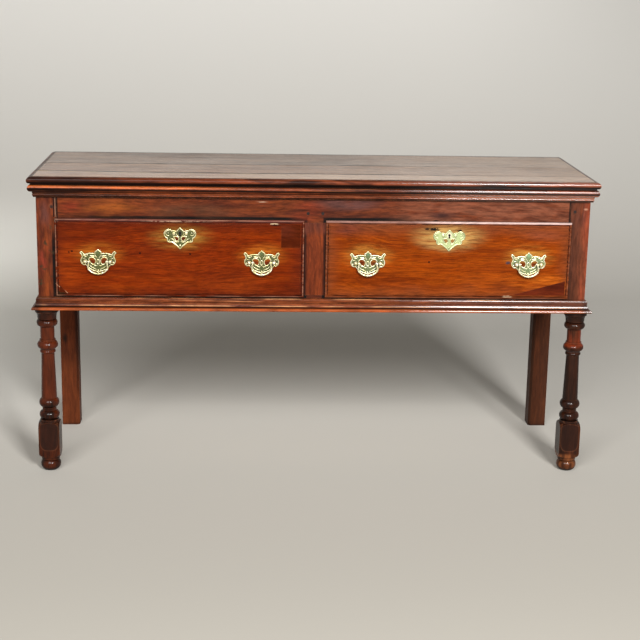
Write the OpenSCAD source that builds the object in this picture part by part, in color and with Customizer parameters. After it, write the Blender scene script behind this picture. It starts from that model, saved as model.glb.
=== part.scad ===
// An oak dresser base: a boarded top on a moulded frame with two lipped drawers side by side,
// turned front legs and plain square rear legs. +X is to the right, the front faces -Y, +Z is up.
// The origin is on the floor, under the middle of the top.

/* [Top] */
// Width of the top, from nose to nose
top_w = 1466; // [1200:1:1800]
// Depth of the top
top_d = 480; // [430:1:560]
// Height of the top's upper face above the floor
height = 795; // [740:1:880]
// Thickness of the top boards
board_t = 18; // [16:0.5:24]
// Width of the front board of the top
front_board_w = 100; // [70:1:140]
// Width of the middle board of the top
middle_board_w = 160; // [100:1:200]
// How far the top stands out past each end of the body
over_side = 20; // [19:0.5:32]
// How far the top stands out past the front of the body
over_front = 23; // [23:0.5:36]
// How far the top stands out past the back of the body
over_back = 8; // [0:0.5:20]
// Width of the moulded nose round the top
nose_w = 11; // [6:0.5:14]
// Step that sets the nose off from the flat of the top
nose_step = 0.8; // [0.4:0.1:1.6]
// Radius under the nose
nose_under_r = 7; // [3:0.5:8]

/* [Frame] */
// Height of the body's underside above the floor
leg_h = 447; // [400:1:490]
// Side of the square front posts
post = 52; // [48:1:60]
// Side of the square rear legs
rear_post = 50; // [44:1:60]
// Chamfer on the inner front edge of each rear leg
rear_chamfer = 6; // [0:0.5:10]
// Height of the rail under the drawers
sill_h = 42; // [36:1:60]
// Depth of the rail under the drawers
sill_d = 45; // [35:1:60]
// Height of the rail over the drawers
top_rail_h = 97; // [80:1:120]
// Thickness of the rail over the drawers and of the muntin
rail_t = 22; // [20:0.5:30]
// Width of the muntin between the drawers
muntin_w = 68; // [50:1:90]
// Thickness of the side boards
side_t = 18; // [16:0.5:24]
// Thickness of the back board
back_t = 16; // [14:0.5:20]
// How far the back board is set in from the back of the rear legs
back_inset = 4; // [0:0.5:8]
// Length of the tenons
tenon_l = 25; // [16:1:30]
// Thickness of the tenons
tenon_t = 10; // [8:0.5:12]
// Shoulder above and below each tenon
shoulder = 10; // [5:1:14]
// Length of the muntin's upper tenon
muntin_tenon_l = 40; // [30:1:60]
// Diameter of the pegs through the joints
peg_d = 8; // [6:0.5:10]
// Depth of the peg holes
peg_depth = 34; // [28:1:40]
// How far the pegs stand proud
peg_proud = 0.6; // [0.1:0.1:1.5]

/* [Mouldings] */
// Height of the moulding under the top
cornice_h = 36; // [34:1:44]
// Height of the small quirk at the top of that moulding
cornice_quirk_h = 3; // [2:0.5:5]
// How far the quirk stands out from the body
cornice_quirk_p = 12; // [9:0.5:14]
// Radius of the half round in that moulding
cornice_torus_r = 9.5; // [7:0.5:9.5]
// How far the flat band under the half round stands out
cornice_band_p = 8; // [6:0.5:10]
// Height of the moulding round the bottom of the body
waist_h = 33; // [30:1:40]
// How far the ovolo of that moulding stands out
waist_ovolo_p = 6.5; // [5:0.5:8]
// How far the nose of that moulding stands out
waist_nose_p = 17.5; // [14:0.5:20]
// Height of the nose of that moulding
waist_nose_h = 6.5; // [5:0.5:9]

/* [Front legs] */
// Distance of each turned leg's axis from the middle of the body's end
leg_inset = 16; // [14:1:30]
// Diameter of the bell at the head of the leg
bell_d = 61; // [54:1:66]
// Diameter of the upper bead
upper_bead_d = 55; // [46:1:60]
// Diameter of the ball under the neck
ball_d = 54; // [46:1:60]
// Diameter of the neck between the upper bead and the ball
neck_d = 37; // [30:1:42]
// Diameter of the column at its top
column_top_d = 34; // [28:1:38]
// Diameter of the column at its foot
column_foot_d = 41; // [36:1:46]
// Diameter of the paired beads under the column
paired_bead_d = 53; // [46:1:60]
// Side of the square block above the foot
block_w = 55; // [48:1:62]
// Height of the square block
block_h = 97; // [70:1:130]
// Height of the bun foot
foot_h = 33; // [26:1:44]
// Diameter of the bun foot
foot_d = 53; // [46:1:60]
// Diameter of the round tenon on top of the leg
leg_tenon_d = 22; // [18:1:24]
// Length of the round tenon on top of the leg
leg_tenon_l = 36; // [25:1:45]

/* [Drawers] */
// Gap between a drawer and its opening, at each side
drawer_gap = 1; // [0.5:0.1:2]
// Height of the drawer sides above their runners
run_gap = 0.3; // [0.2:0.1:1]
// How far the lip laps over the frame
lip_lap = 6.5; // [4:0.5:9]
// Thickness of the lip, which stands in front of the frame
lip_t = 6; // [5:0.5:7]
// Width of the thumbnail moulding round the lip
lip_mould_w = 11; // [7:0.5:14]
// Step at the inner edge of the thumbnail
lip_step = 0.8; // [0.4:0.1:1.2]
// Gap between the shut lip and the frame
lip_gap = 0.4; // [0.2:0.1:0.8]
// Thickness of the drawer fronts, lip and all
drawer_front_t = 20; // [19:0.5:24]
// Thickness of the drawer sides and backs
drawer_side_t = 11; // [9:0.5:14]
// Thickness of the drawer bottoms
drawer_bottom_t = 8; // [6:0.5:10]
// Height of the drawer bottom's groove above the lower edge of the sides
groove_up = 8; // [6:0.5:12]
// Depth of the grooves and housings in the drawer sides
groove_d = 5; // [3:0.5:6]
// How much lower than the opening the drawer sides are
side_drop = 4; // [2:0.5:8]
// Space between the back of a drawer and the back board
drawer_back_gap = 9; // [5:1:30]
// Dovetails at each front corner
tails = 3; // [2:1:4]
// Length of the dovetails
tail_l = 11; // [8:0.5:12]
// Width of the runner under each drawer side
runner_w = 21; // [16:1:30]
// Thickness of the runners and kickers
runner_t = 22; // [16:1:26]
// Height of the guide strip on each runner
guide_h = 15; // [10:1:25]

/* [Brasses] */
// Distance of each handle from the middle of its drawer
handle_x = 210; // [120:1:240]
// Height of the handle posts above the lower edge of the opening
handle_up = 88; // [60:1:120]
// Distance from a handle's middle to each of its posts
post_x = 32; // [28:1:40]
// Thickness of the back plates
plate_t = 1.6; // [1:0.1:2]
// Diameter of the shanks of the posts
shank_d = 4.5; // [3.5:0.1:5]
// Diameter of the post heads
head_d = 11; // [9:0.5:12]
// Distance of the bail's pivot from the back plate
pivot_out = 8.8; // [8:0.1:9.5]
// Diameter of the bail
bail_d = 4.4; // [3.5:0.1:5]
// Diameter of the bail's end pins
bail_pin_d = 3.2; // [2.4:0.1:3.6]
// How far the bail hangs below its pivots
bail_drop = 34; // [28:1:40]
// Depth of the keyhole's middle below the upper edge of the opening
keyhole_down = 31.5; // [26:0.5:36]

/* [Locks] */
// Width of the lock case
lock_w = 72; // [50:1:90]
// Height of the lock case
lock_h = 50; // [44:1:60]
// Depth of the lock case
lock_d = 11; // [10:0.5:12]
// Width of the bolt
bolt_w = 28; // [20:1:36]
// Thickness of the bolt
bolt_t = 5.4; // [4:0.1:6]
// Length of the bolt
bolt_l = 38; // [30:1:42]
// How far the bolt rises
bolt_travel = 8; // [5:0.5:10]

/* [Hidden] */
$fn = 64;
arc_steps = 8;
// Room round a tenon, a sliding bolt, a peg, a post's shank and a bail's pin
fit = 0.1;
slide_fit = 0.2;
peg_fit = 0.05;
shank_fit = 0.08;
pivot_fit = 0.1;
// How far a cutter reaches past what it cuts, and how far two shapes of one piece run together
clear = 1;
fuse = 1;

half_w = top_w / 2 - over_side;
front_y = -top_d / 2 + over_front;
back_y = top_d / 2 - over_back;
body_top = height - board_t;
sill_top = leg_h + sill_h;
open_top = body_top - top_rail_h;

front_in_x = half_w - post;
front_in_y = front_y + post;
rear_in_x = half_w - rear_post;
rear_in_y = back_y - rear_post;
back_board_y = back_y - back_inset - back_t;
rail_back_y = front_y + rail_t;
sill_back_y = front_y + sill_d;
rail_tenon_y = front_y + rail_t / 2;
side_tenon_x = half_w - side_t / 2;
back_tenon_y = back_board_y + back_t / 2;
muntin_tenon_w = muntin_w - 2 * shoulder;

leg_x = half_w - leg_inset;
leg_y = front_y + post / 2;

bolt_down = 0.4;
open_w = front_in_x - muntin_w / 2;
drawer_x = (front_in_x + muntin_w / 2) / 2;
box_x = open_w / 2 - drawer_gap;
box_z = sill_top + drawer_gap;
box_top = open_top - drawer_gap;
side_z = sill_top + run_gap;
side_top = open_top - side_drop;
lip_x = open_w / 2 + lip_lap;
lip_z = sill_top - lip_lap;
lip_top = open_top + lip_lap;
lip_y = front_y - lip_gap;
face_y = lip_y - lip_t;
front_back_y = face_y + drawer_front_t;
drawer_back_y = back_board_y - drawer_back_gap;
side_in_x = box_x - drawer_side_t;
bottom_z = side_z + groove_up;
bottom_top = bottom_z + drawer_bottom_t;
drawer_tail = 4;

handle_z = sill_top + handle_up;
keyhole_z = open_top - keyhole_down;
plate_y = face_y - plate_t;
pivot_y = plate_y - pivot_out;
lock_y = front_back_y - lock_d;
bolt_y = lock_y + (lock_d - bolt_t) / 2;
bolt_top = box_top - bolt_down;

dark_oak = [0.30, 0.12, 0.06];
frame_oak = [0.38, 0.15, 0.08];
drawer_oak = [0.62, 0.24, 0.09];
plain_oak = [0.55, 0.38, 0.22];
brass = [0.78, 0.70, 0.42];
iron = [0.25, 0.24, 0.23];

// Points along part of an ellipse
function arc(cx, cy, rx, ry, from, to) =
    [for (i = [0 : arc_steps])
        let (a = from + (to - from) * i / arc_steps)
        [cx + rx * cos(a), cy + ry * sin(a)]];

// A list of points turned round left to right, in reverse order
function mirrored(points) =
    [for (i = [len(points) - 1 : -1 : 0]) [-points[i][0], points[i][1]]];

// A box between two opposite corners
module block(low, high) {
    translate(low)
        cube(high - low);
}

// A flat shape drawn in Y and Z, run along X
module along_x(x0, x1) {
    translate([x0, 0, 0])
        rotate([90, 0, 90])
            linear_extrude(x1 - x0)
                children();
}

// A flat shape drawn in X and Z, run along Y
module along_y(y0, y1) {
    translate([0, y1, 0])
        rotate([90, 0, 0])
            linear_extrude(y1 - y0)
                children();
}

// A flat shape drawn in X and Y, run along Z
module along_z(z0, z1) {
    translate([0, 0, z0])
        linear_extrude(z1 - z0)
            children();
}

// A round bar along X, and one along Y
module bar_x(x0, x1, y, z, d) {
    translate([x0, y, z])
        rotate([0, 90, 0])
            cylinder(d = d, h = x1 - x0);
}

module bar_y(x, y0, y1, z, d) {
    translate([x, y1, z])
        rotate([90, 0, 0])
            cylinder(d = d, h = y1 - y0);
}

// The two ends of the body, as -1 and 1, share every shape by mirroring
module on_side(s) {
    if (s < 0)
        mirror([1, 0, 0])
            children();
    else
        children();
}

// Top: edge profile as distance in from the edge and height under the upper face

nose_rise = board_t / 2 - nose_step;
nose = concat([[nose_w, 0]],
    arc(nose_w, -nose_step - nose_rise, nose_w, nose_rise, 90, 180),
    arc(nose_under_r, -board_t + nose_under_r, nose_under_r, nose_under_r, 180, 270));

module top_slab(y0, y1) {
    left = [for (p = nose) [p[0] - top_w / 2, p[1] + height]];
    along_y(y0, y1)
        polygon(concat(left, mirrored(left)));
}

module top_front_board() {
    y0 = -top_d / 2;
    y1 = y0 + front_board_w;
    front = [for (p = nose) [p[0] + y0, p[1] + height]];
    color(frame_oak)
        intersection() {
            top_slab(y0, y1);
            along_x(-top_w / 2, top_w / 2)
                polygon(concat(front, [[y1, body_top], [y1, height]]));
        }
}

module top_middle_board() {
    y0 = -top_d / 2 + front_board_w;
    color(frame_oak)
        top_slab(y0, y0 + middle_board_w);
}

module top_back_board() {
    color(frame_oak)
        top_slab(-top_d / 2 + front_board_w + middle_board_w, top_d / 2);
}

// Mouldings: profiles as distance out from the body and height

torus_z = body_top - cornice_quirk_h - cornice_torus_r;
band_z = torus_z - cornice_torus_r;
cornice_z = body_top - cornice_h;
bead_r = 2.5;
cornice_profile = concat(
    [[0, body_top], [cornice_quirk_p, body_top], [cornice_quirk_p, body_top - cornice_quirk_h]],
    arc(cornice_torus_r, torus_z, cornice_torus_r, cornice_torus_r, 75, -90),
    [[cornice_band_p, band_z], [cornice_band_p, band_z - 4.5], [cornice_band_p - 1.2, band_z - 4.5]],
    arc(cornice_band_p - bead_r, band_z - 5.7 - bead_r, bead_r, bead_r, 60, -60),
    [[cornice_band_p - 2, cornice_z + 2.5], [cornice_band_p - 2, cornice_z], [0, cornice_z]]);

waist_top = leg_h + waist_h;
waist_quirk_z = leg_h + waist_nose_h + 13.5;
waist_profile = concat(
    [[0, waist_top], [waist_ovolo_p / 3, waist_top]],
    arc(waist_ovolo_p / 3, waist_top - 6, waist_ovolo_p * 2 / 3, 5.5, 90, 0),
    [[waist_ovolo_p, waist_quirk_z + 1.6], [waist_ovolo_p - 1.4, waist_quirk_z + 0.8],
     [waist_ovolo_p, waist_quirk_z]],
    arc(waist_nose_p, waist_quirk_z, waist_nose_p - waist_ovolo_p, 13.5, 180, 262),
    arc(waist_nose_p - 2, leg_h + waist_nose_h / 2, 2, waist_nose_h / 2, 80, -90),
    [[0, leg_h]]);

// Plan of the front length, mitred at 45 degrees at both ends
module front_plan(reach) {
    polygon([[-half_w, front_y], [half_w, front_y],
        [half_w + reach, front_y - reach], [-half_w - reach, front_y - reach]]);
}

// Plan of the right-hand length, mitred at its front end
module side_plan(reach) {
    polygon([[half_w, front_y], [half_w + reach, front_y - reach],
        [half_w + reach, back_y], [half_w, back_y]]);
}

module front_moulding(profile, reach) {
    section = [for (p = profile) [front_y - p[0], p[1]]];
    intersection() {
        along_x(-half_w - reach, half_w + reach)
            polygon(section);
        along_z(leg_h, height)
            front_plan(reach);
    }
}

module side_moulding(profile, reach) {
    section = [for (p = profile) [half_w + p[0], p[1]]];
    intersection() {
        along_y(front_y - reach, back_y)
            polygon(section);
        along_z(leg_h, height)
            side_plan(reach);
    }
}

cornice_reach = 2 * cornice_torus_r + 1;
waist_reach = waist_nose_p + 1;

module cornice_front() {
    color(dark_oak)
        front_moulding(cornice_profile, cornice_reach);
}

module cornice_side(s) {
    color(dark_oak)
        on_side(s)
            side_moulding(cornice_profile, cornice_reach);
}

module waist_front() {
    color(dark_oak)
        front_moulding(waist_profile, waist_reach);
}

module waist_side(s) {
    color(dark_oak)
        on_side(s)
            side_moulding(waist_profile, waist_reach);
}

// Front leg: heights of the turnings, measured down from the body or up from the floor

bell_h = 12;
cove_h = 18;
cove_w = 6;
ring_h = 6;
upper_bead_drop = 41;
upper_bead_r = 10.5;
ball_drop = 101;
ball_r = 11.5;
fillet_h = 4;
fillet_out = 2.5;
collar_drop = 119;
collar_r = 5;
lower_bead_r = 13;
waisted_bead_r = 14.5;
bead_neck_h = 6;
bead_neck_r = 18.5;
foot_neck_r = 15;
block_shoulder_h = 22;

bell_z = leg_h - bell_h;
cove_z = bell_z - cove_h;
upper_bead_z = leg_h - upper_bead_drop;
ball_z = leg_h - ball_drop;
collar_z = leg_h - collar_drop;
block_z = foot_h + ring_h;
block_top = block_z + block_h;
ring_top = block_top + ring_h;
lower_bead_z = ring_top + lower_bead_r - fuse / 2;
waisted_bead_z = lower_bead_z + lower_bead_r + waisted_bead_r + bead_neck_h;
column_z = waisted_bead_z + waisted_bead_r - 2 * fuse;
column_top = collar_z - collar_r + fuse;
ring_r = paired_bead_d / 2 - 1.5;

// A ring of half-round section, largest at a given height
module bead(d, z, r) {
    translate([d / 2 - r, z])
        circle(r = r);
}

// Half section of everything on the leg that is turned, above the block
module upper_turning() {
    intersection() {
        union() {
            polygon(concat([[0, leg_h], [bell_d / 2, leg_h], [bell_d / 2, bell_z]],
                arc(bell_d / 2, cove_z, cove_w, cove_h, 90, 180),
                [[0, cove_z]]));
            translate([0, collar_z])
                square([neck_d / 2, cove_z - collar_z + fuse]);
            bead(upper_bead_d, upper_bead_z, upper_bead_r);
            translate([0, ball_z + ball_r - fuse])
                square([neck_d / 2 + fillet_out, fillet_h]);
            bead(ball_d, ball_z, ball_r);
            bead(column_foot_d, collar_z, collar_r);
            polygon([[0, column_z], [column_foot_d / 2, column_z],
                [column_top_d / 2, column_top], [column_top_d / 2, collar_z], [0, collar_z]]);
            bead(paired_bead_d, waisted_bead_z, waisted_bead_r);
            translate([0, block_top])
                square([bead_neck_r, column_z - block_top + fuse]);
            bead(paired_bead_d, lower_bead_z, lower_bead_r);
            translate([0, block_top - fuse])
                square([ring_r, ring_h + fuse]);
        }
        square([bell_d, leg_h]);
    }
}

// Half section of the bun foot and the ring over it
module foot_turning() {
    intersection() {
        union() {
            bead(foot_d, foot_h / 2, foot_h / 2 + fuse / 2);
            square([foot_neck_r, foot_h]);
            translate([0, foot_h - 2 * fuse])
                square([foot_d / 2 - fillet_out, ring_h + 3 * fuse]);
        }
        square([foot_d, block_z + fuse]);
    }
}

// The block is a square whose ends the lathe rounds off, which leaves an arch on each face
module leg_block() {
    start_r = ring_r + 0.5;
    corner_r = block_w / sqrt(2) + clear;
    spread = corner_r - start_r;
    top_shoulder = arc(start_r, block_top - block_shoulder_h, spread, block_shoulder_h, 90, 0);
    foot_shoulder = arc(start_r, block_z + block_shoulder_h, spread, block_shoulder_h, 0, -90);
    intersection() {
        block([-block_w / 2, -block_w / 2, block_z], [block_w / 2, block_w / 2, block_top]);
        rotate_extrude()
            polygon(concat([[0, block_top]], top_shoulder, foot_shoulder, [[0, block_z]]));
    }
}

module front_leg(s) {
    color(dark_oak)
        on_side(s)
            translate([leg_x, leg_y, 0]) {
                rotate_extrude()
                    upper_turning();
                leg_block();
                rotate_extrude()
                    foot_turning();
                translate([0, 0, leg_h - fuse])
                    cylinder(d = leg_tenon_d, h = leg_tenon_l + fuse);
            }
}

// Pegs: front faces, outer faces and back faces of the posts, and the top of the muntin

front_peg_x = front_in_x + tenon_l / 2;
top_peg_z = open_top + 35;
low_peg_z = sill_top + 32;
peg_past = 8;
muntin_peg_x = muntin_tenon_w / 2 - peg_d / 2 - 1;
muntin_peg_z = open_top + 24;
side_peg_front_y = front_in_y - tenon_l / 2;
side_peg_rear_y = rear_in_y + tenon_l / 2;
back_peg_x = rear_in_x + tenon_l / 2;

module right_pegs(d, depth, proud) {
    bar_y(front_peg_x, front_y - proud, front_y + min(depth, rail_t + peg_past), top_peg_z, d);
    for (z = [top_peg_z, low_peg_z]) {
        bar_x(half_w - depth, half_w + proud, side_peg_front_y, z, d);
        bar_x(half_w - depth, half_w + proud, side_peg_rear_y, z, d);
        bar_y(back_peg_x, back_y - min(depth, back_inset + back_t + peg_past), back_y + proud, z, d);
    }
}

module muntin_pegs(d, depth, proud) {
    for (x = [-muntin_peg_x, muntin_peg_x])
        bar_y(x, front_y - proud, front_y + min(depth, rail_t - 2), muntin_peg_z, d);
}

module peg_holes() {
    d = peg_d + 2 * peg_fit;
    on_side(1)
        right_pegs(d, peg_depth, clear);
    on_side(-1)
        right_pegs(d, peg_depth, clear);
    muntin_pegs(d, peg_depth, clear);
}

module frame_pegs() {
    color(plain_oak) {
        for (s = [-1, 1])
            on_side(s)
                right_pegs(peg_d, peg_depth - 2, peg_proud);
        muntin_pegs(peg_d, peg_depth - 2, peg_proud);
    }
}

// Tenons, drawn larger by a fit where they cut their mortises

sill_shoulder = 6;
side_tenon_z = leg_h + leg_tenon_l + 12;

module top_rail_tenon(grow) {
    block([front_in_x, rail_tenon_y - tenon_t / 2 - grow, open_top + shoulder - grow],
        [front_in_x + tenon_l + grow, rail_tenon_y + tenon_t / 2 + grow, body_top - shoulder + grow]);
}

module sill_tenon(grow) {
    block([front_in_x, rail_tenon_y - tenon_t / 2 - grow, leg_h + sill_shoulder - grow],
        [front_in_x + tenon_l + grow, rail_tenon_y + tenon_t / 2 + grow,
         sill_top - sill_shoulder + grow]);
}

module side_tenons(grow) {
    block([side_tenon_x - tenon_t / 2 - grow, front_in_y - tenon_l - grow, side_tenon_z - grow],
        [side_tenon_x + tenon_t / 2 + grow, rear_in_y + tenon_l + grow, body_top - shoulder + grow]);
}

module back_tenon(grow) {
    block([rear_in_x, back_tenon_y - tenon_t / 2 - grow, leg_h + shoulder - grow],
        [rear_in_x + tenon_l + grow, back_tenon_y + tenon_t / 2 + grow, body_top - shoulder + grow]);
}

module muntin_tenons(grow) {
    block([-muntin_tenon_w / 2 - grow, rail_tenon_y - tenon_t / 2 - grow, sill_top - tenon_l - grow],
        [muntin_tenon_w / 2 + grow, rail_tenon_y + tenon_t / 2 + grow,
         open_top + muntin_tenon_l + grow]);
}

module front_post(s) {
    color(frame_oak)
        difference() {
            on_side(s)
                difference() {
                    block([front_in_x, front_y, leg_h], [half_w, front_in_y, body_top]);
                    top_rail_tenon(fit);
                    sill_tenon(fit);
                    side_tenons(fit);
                    translate([leg_x, leg_y, leg_h - clear])
                        cylinder(d = leg_tenon_d + 2 * peg_fit, h = leg_tenon_l + 3 * clear);
                }
            peg_holes();
        }
}

module rear_leg(s) {
    c = rear_chamfer;
    color(dark_oak)
        difference() {
            on_side(s)
                difference() {
                    block([rear_in_x, rear_in_y, 0], [half_w, back_y, body_top]);
                    along_z(-clear, leg_h - bell_h)
                        polygon([[rear_in_x - clear, rear_in_y - clear],
                            [rear_in_x + c, rear_in_y - clear], [rear_in_x + c, rear_in_y],
                            [rear_in_x, rear_in_y + c], [rear_in_x - clear, rear_in_y + c]]);
                    side_tenons(fit);
                    back_tenon(fit);
                }
            peg_holes();
        }
}

module top_rail() {
    color(frame_oak)
        difference() {
            union() {
                block([-front_in_x, front_y, open_top], [front_in_x, rail_back_y, body_top]);
                for (s = [-1, 1])
                    on_side(s)
                        top_rail_tenon(0);
            }
            muntin_tenons(fit);
            for (s = [-1, 1])
                translate([s * drawer_x, 0, 0])
                    bolt_mortise();
            peg_holes();
        }
}

module bottom_rail() {
    color(frame_oak)
        difference() {
            union() {
                block([-front_in_x, front_y, leg_h], [front_in_x, sill_back_y, sill_top]);
                for (s = [-1, 1])
                    on_side(s)
                        sill_tenon(0);
            }
            muntin_tenons(fit);
        }
}

module muntin() {
    color(frame_oak)
        difference() {
            union() {
                block([-muntin_w / 2, front_y, sill_top], [muntin_w / 2, rail_back_y, open_top]);
                muntin_tenons(0);
            }
            peg_holes();
        }
}

module side_board(s) {
    color(dark_oak)
        difference() {
            on_side(s)
                union() {
                    block([half_w - side_t, front_in_y, leg_h], [half_w, rear_in_y, body_top]);
                    side_tenons(0);
                }
            peg_holes();
        }
}

module back_board() {
    color(plain_oak)
        difference() {
            union() {
                block([-rear_in_x, back_board_y, leg_h],
                    [rear_in_x, back_board_y + back_t, body_top]);
                for (s = [-1, 1])
                    on_side(s)
                        back_tenon(0);
            }
            peg_holes();
        }
}

// Runners carry the drawer sides, with a guide strip beside them; kickers keep the drawers level

run_x = front_in_x - runner_w;

module side_run(z0, z1, front) {
    block([run_x, front, z0], [front_in_x, back_board_y, z1]);
    block([front_in_x - fuse, front_in_y, z0], [half_w - side_t, rear_in_y, z1]);
}

module runner_side(s) {
    color(plain_oak)
        on_side(s) {
            side_run(sill_top - runner_t, sill_top, sill_back_y);
            block([front_in_x, front_in_y, sill_top - fuse],
                [half_w - side_t, rear_in_y, sill_top + guide_h]);
        }
}

module kicker_side(s) {
    color(plain_oak)
        on_side(s)
            side_run(open_top, open_top + runner_t, rail_back_y);
}

module runner_centre() {
    w = muntin_w / 2 + runner_w;
    color(plain_oak) {
        block([-w, sill_back_y, sill_top - runner_t], [w, back_board_y, sill_top]);
        block([-muntin_w / 2, rail_back_y, sill_top],
            [muntin_w / 2, sill_back_y + fuse, sill_top + guide_h]);
        block([-muntin_w / 2, sill_back_y, sill_top - fuse],
            [muntin_w / 2, back_board_y, sill_top + guide_h]);
    }
}

module kicker_centre() {
    w = muntin_w / 2 + runner_w;
    color(plain_oak)
        block([-w, rail_back_y, open_top], [w, back_board_y, open_top + runner_t]);
}

// Drawers: each is drawn about its own middle and then put in its opening

module in_opening(s) {
    translate([s * drawer_x, 0, 0])
        children();
}

// Edge of the lip, as distance in from the edge and distance in front of the lip's back
thumbnail = concat([[0, 0]],
    arc(lip_mould_w, lip_t / 4, lip_mould_w, lip_t * 3 / 4 - lip_step, 180, 90),
    [[lip_mould_w, lip_t]]);

module lip() {
    across = [for (p = thumbnail) [p[0] - lip_x, lip_y - p[1]]];
    low = [for (p = thumbnail) [lip_y - p[1], p[0] + lip_z]];
    high = [for (i = [len(thumbnail) - 1 : -1 : 0])
        [lip_y - thumbnail[i][1], lip_top - thumbnail[i][0]]];
    intersection() {
        along_z(lip_z, lip_top)
            polygon(concat(across, mirrored(across)));
        along_x(-lip_x, lip_x)
            polygon(concat(low, high));
    }
}

tail_root = 32;
tail_flare = 5;

// The dovetails at the front end of one drawer side, on the right
module front_tails(grow) {
    pitch = (side_top - side_z) / tails;
    root = tail_root / 2 + grow;
    tip = root + tail_flare;
    for (i = [0 : tails - 1]) {
        z = side_z + pitch * (i + 0.5);
        along_x(side_in_x - grow, box_x + grow)
            polygon([[front_back_y + 0.01, z - root], [front_back_y - tail_l - grow, z - tip],
                [front_back_y - tail_l - grow, z + tip], [front_back_y + 0.01, z + root]]);
    }
}

keyhole_r = 2.7;
keyhole_slot_w = 3.2;
keyhole_slot_h = 8;
keyhole_eye_z = keyhole_z + 3;

module keyhole(y0, y1) {
    bar_y(0, y0, y1, keyhole_eye_z, 2 * keyhole_r);
    block([-keyhole_slot_w / 2, y0, keyhole_eye_z - keyhole_slot_h],
        [keyhole_slot_w / 2, y1, keyhole_eye_z]);
}

module post_holes(y0, y1, d) {
    for (h = [-handle_x, handle_x])
        for (p = [-post_x, post_x])
            bar_y(h + p, y0, y1, handle_z, d);
}

module lock_pocket(grow) {
    block([-lock_w / 2 - grow, lock_y - grow, box_top - lock_h - grow],
        [lock_w / 2 + grow, front_back_y + grow, box_top + grow]);
}

module drawer_front_blank() {
    difference() {
        union() {
            lip();
            block([-box_x, lip_y, box_z], [box_x, front_back_y, box_top]);
        }
        for (s = [-1, 1])
            on_side(s)
                front_tails(fit);
        block([-side_in_x, front_back_y - groove_d - fit, bottom_z - fit],
            [side_in_x, front_back_y + clear, bottom_top + fit]);
        lock_pocket(fit);
        keyhole(face_y - clear, lock_y + clear);
        post_holes(face_y - clear, front_back_y + clear, shank_d + 2 * shank_fit);
    }
}

// Old repairs let into the fronts: shapes in X and Z about the drawer's middle
patch_d = 4;
edge_x = lip_x - lip_mould_w;
edge_z = lip_z + lip_mould_w;
edge_top = lip_top - lip_mould_w;
let_in_w = 49;
let_in_h = 60;
let_in_shape = [[edge_x - let_in_w, edge_top - let_in_h], [edge_x, edge_top - let_in_h],
    [edge_x, edge_top], [edge_x - let_in_w, edge_top]];
corner_w = 16;
corner_h = 18;
corner_shape = [[-edge_x, edge_z], [corner_w - edge_x, edge_z], [-edge_x, edge_z + corner_h]];
wedge_w = 138;
wedge_h = 38;
wedge_shape = [[edge_x - wedge_w, edge_z], [edge_x, edge_z], [edge_x, edge_z + wedge_h]];

module patch(points, depth, front) {
    along_y(front, face_y + depth)
        polygon(points);
}

module drawer_front_left() {
    color(drawer_oak)
        in_opening(-1)
            difference() {
                drawer_front_blank();
                patch(let_in_shape, patch_d, face_y - clear);
                patch(corner_shape, patch_d, face_y - clear);
            }
}

module drawer_front_right() {
    color(drawer_oak)
        in_opening(1)
            difference() {
                drawer_front_blank();
                patch(wedge_shape, patch_d, face_y - clear);
            }
}

module patches_left() {
    color(dark_oak)
        in_opening(-1) {
            patch(let_in_shape, patch_d, face_y);
            patch(corner_shape, patch_d, face_y);
        }
}

module patch_right() {
    color(drawer_oak)
        in_opening(1)
            patch(wedge_shape, patch_d, face_y);
}

module drawer_side(s, end) {
    color(plain_oak)
        in_opening(s)
            on_side(end)
                difference() {
                    union() {
                        block([side_in_x, front_back_y, side_z], [box_x, drawer_back_y, side_top]);
                        front_tails(0);
                    }
                    block([side_in_x - clear, front_back_y - clear, bottom_z - fit],
                        [side_in_x + groove_d, drawer_back_y + clear, bottom_top + fit]);
                    block([side_in_x - clear, drawer_back_y - drawer_tail - drawer_side_t - fit,
                           bottom_top - fit],
                        [side_in_x + groove_d, drawer_back_y - drawer_tail + fit, side_top + clear]);
                }
}

module drawer_back(s) {
    x = side_in_x + groove_d - fit;
    y1 = drawer_back_y - drawer_tail;
    color(plain_oak)
        in_opening(s)
            block([-x, y1 - drawer_side_t, bottom_top], [x, y1, side_top]);
}

module drawer_bottom(s) {
    x = side_in_x + groove_d - fit;
    color(plain_oak)
        in_opening(s) {
            block([-x, front_back_y, bottom_z], [x, drawer_back_y, bottom_top]);
            block([-side_in_x + fit, front_back_y - groove_d, bottom_z],
                [side_in_x - fit, front_back_y + fuse, bottom_top]);
        }
}

// Locks: the bolt slides up through the case into a mortise in the rail

mortise_room = 1;
bolt_under = 0.3;
lock_wall = 1.5;

module bolt_mortise() {
    block([-bolt_w / 2 - mortise_room, bolt_y - mortise_room, open_top - clear],
        [bolt_w / 2 + mortise_room, bolt_y + bolt_t + mortise_room,
         open_top + bolt_travel + 2 * mortise_room]);
}

module lock_case(s) {
    color(iron)
        in_opening(s)
            difference() {
                lock_pocket(0);
                block([-bolt_w / 2 - slide_fit, bolt_y - slide_fit, bolt_top - bolt_l - bolt_under],
                    [bolt_w / 2 + slide_fit, bolt_y + bolt_t + slide_fit, box_top + clear]);
                keyhole(lock_y - clear, lock_y + lock_wall);
            }
}

module lock_bolt(s) {
    color(iron)
        in_opening(s)
            block([-bolt_w / 2, bolt_y, bolt_top - bolt_l],
                [bolt_w / 2, bolt_y + bolt_t, bolt_top]);
}

// Brasses: right half of each outline, about the middle of the posts or of the keyhole

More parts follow.
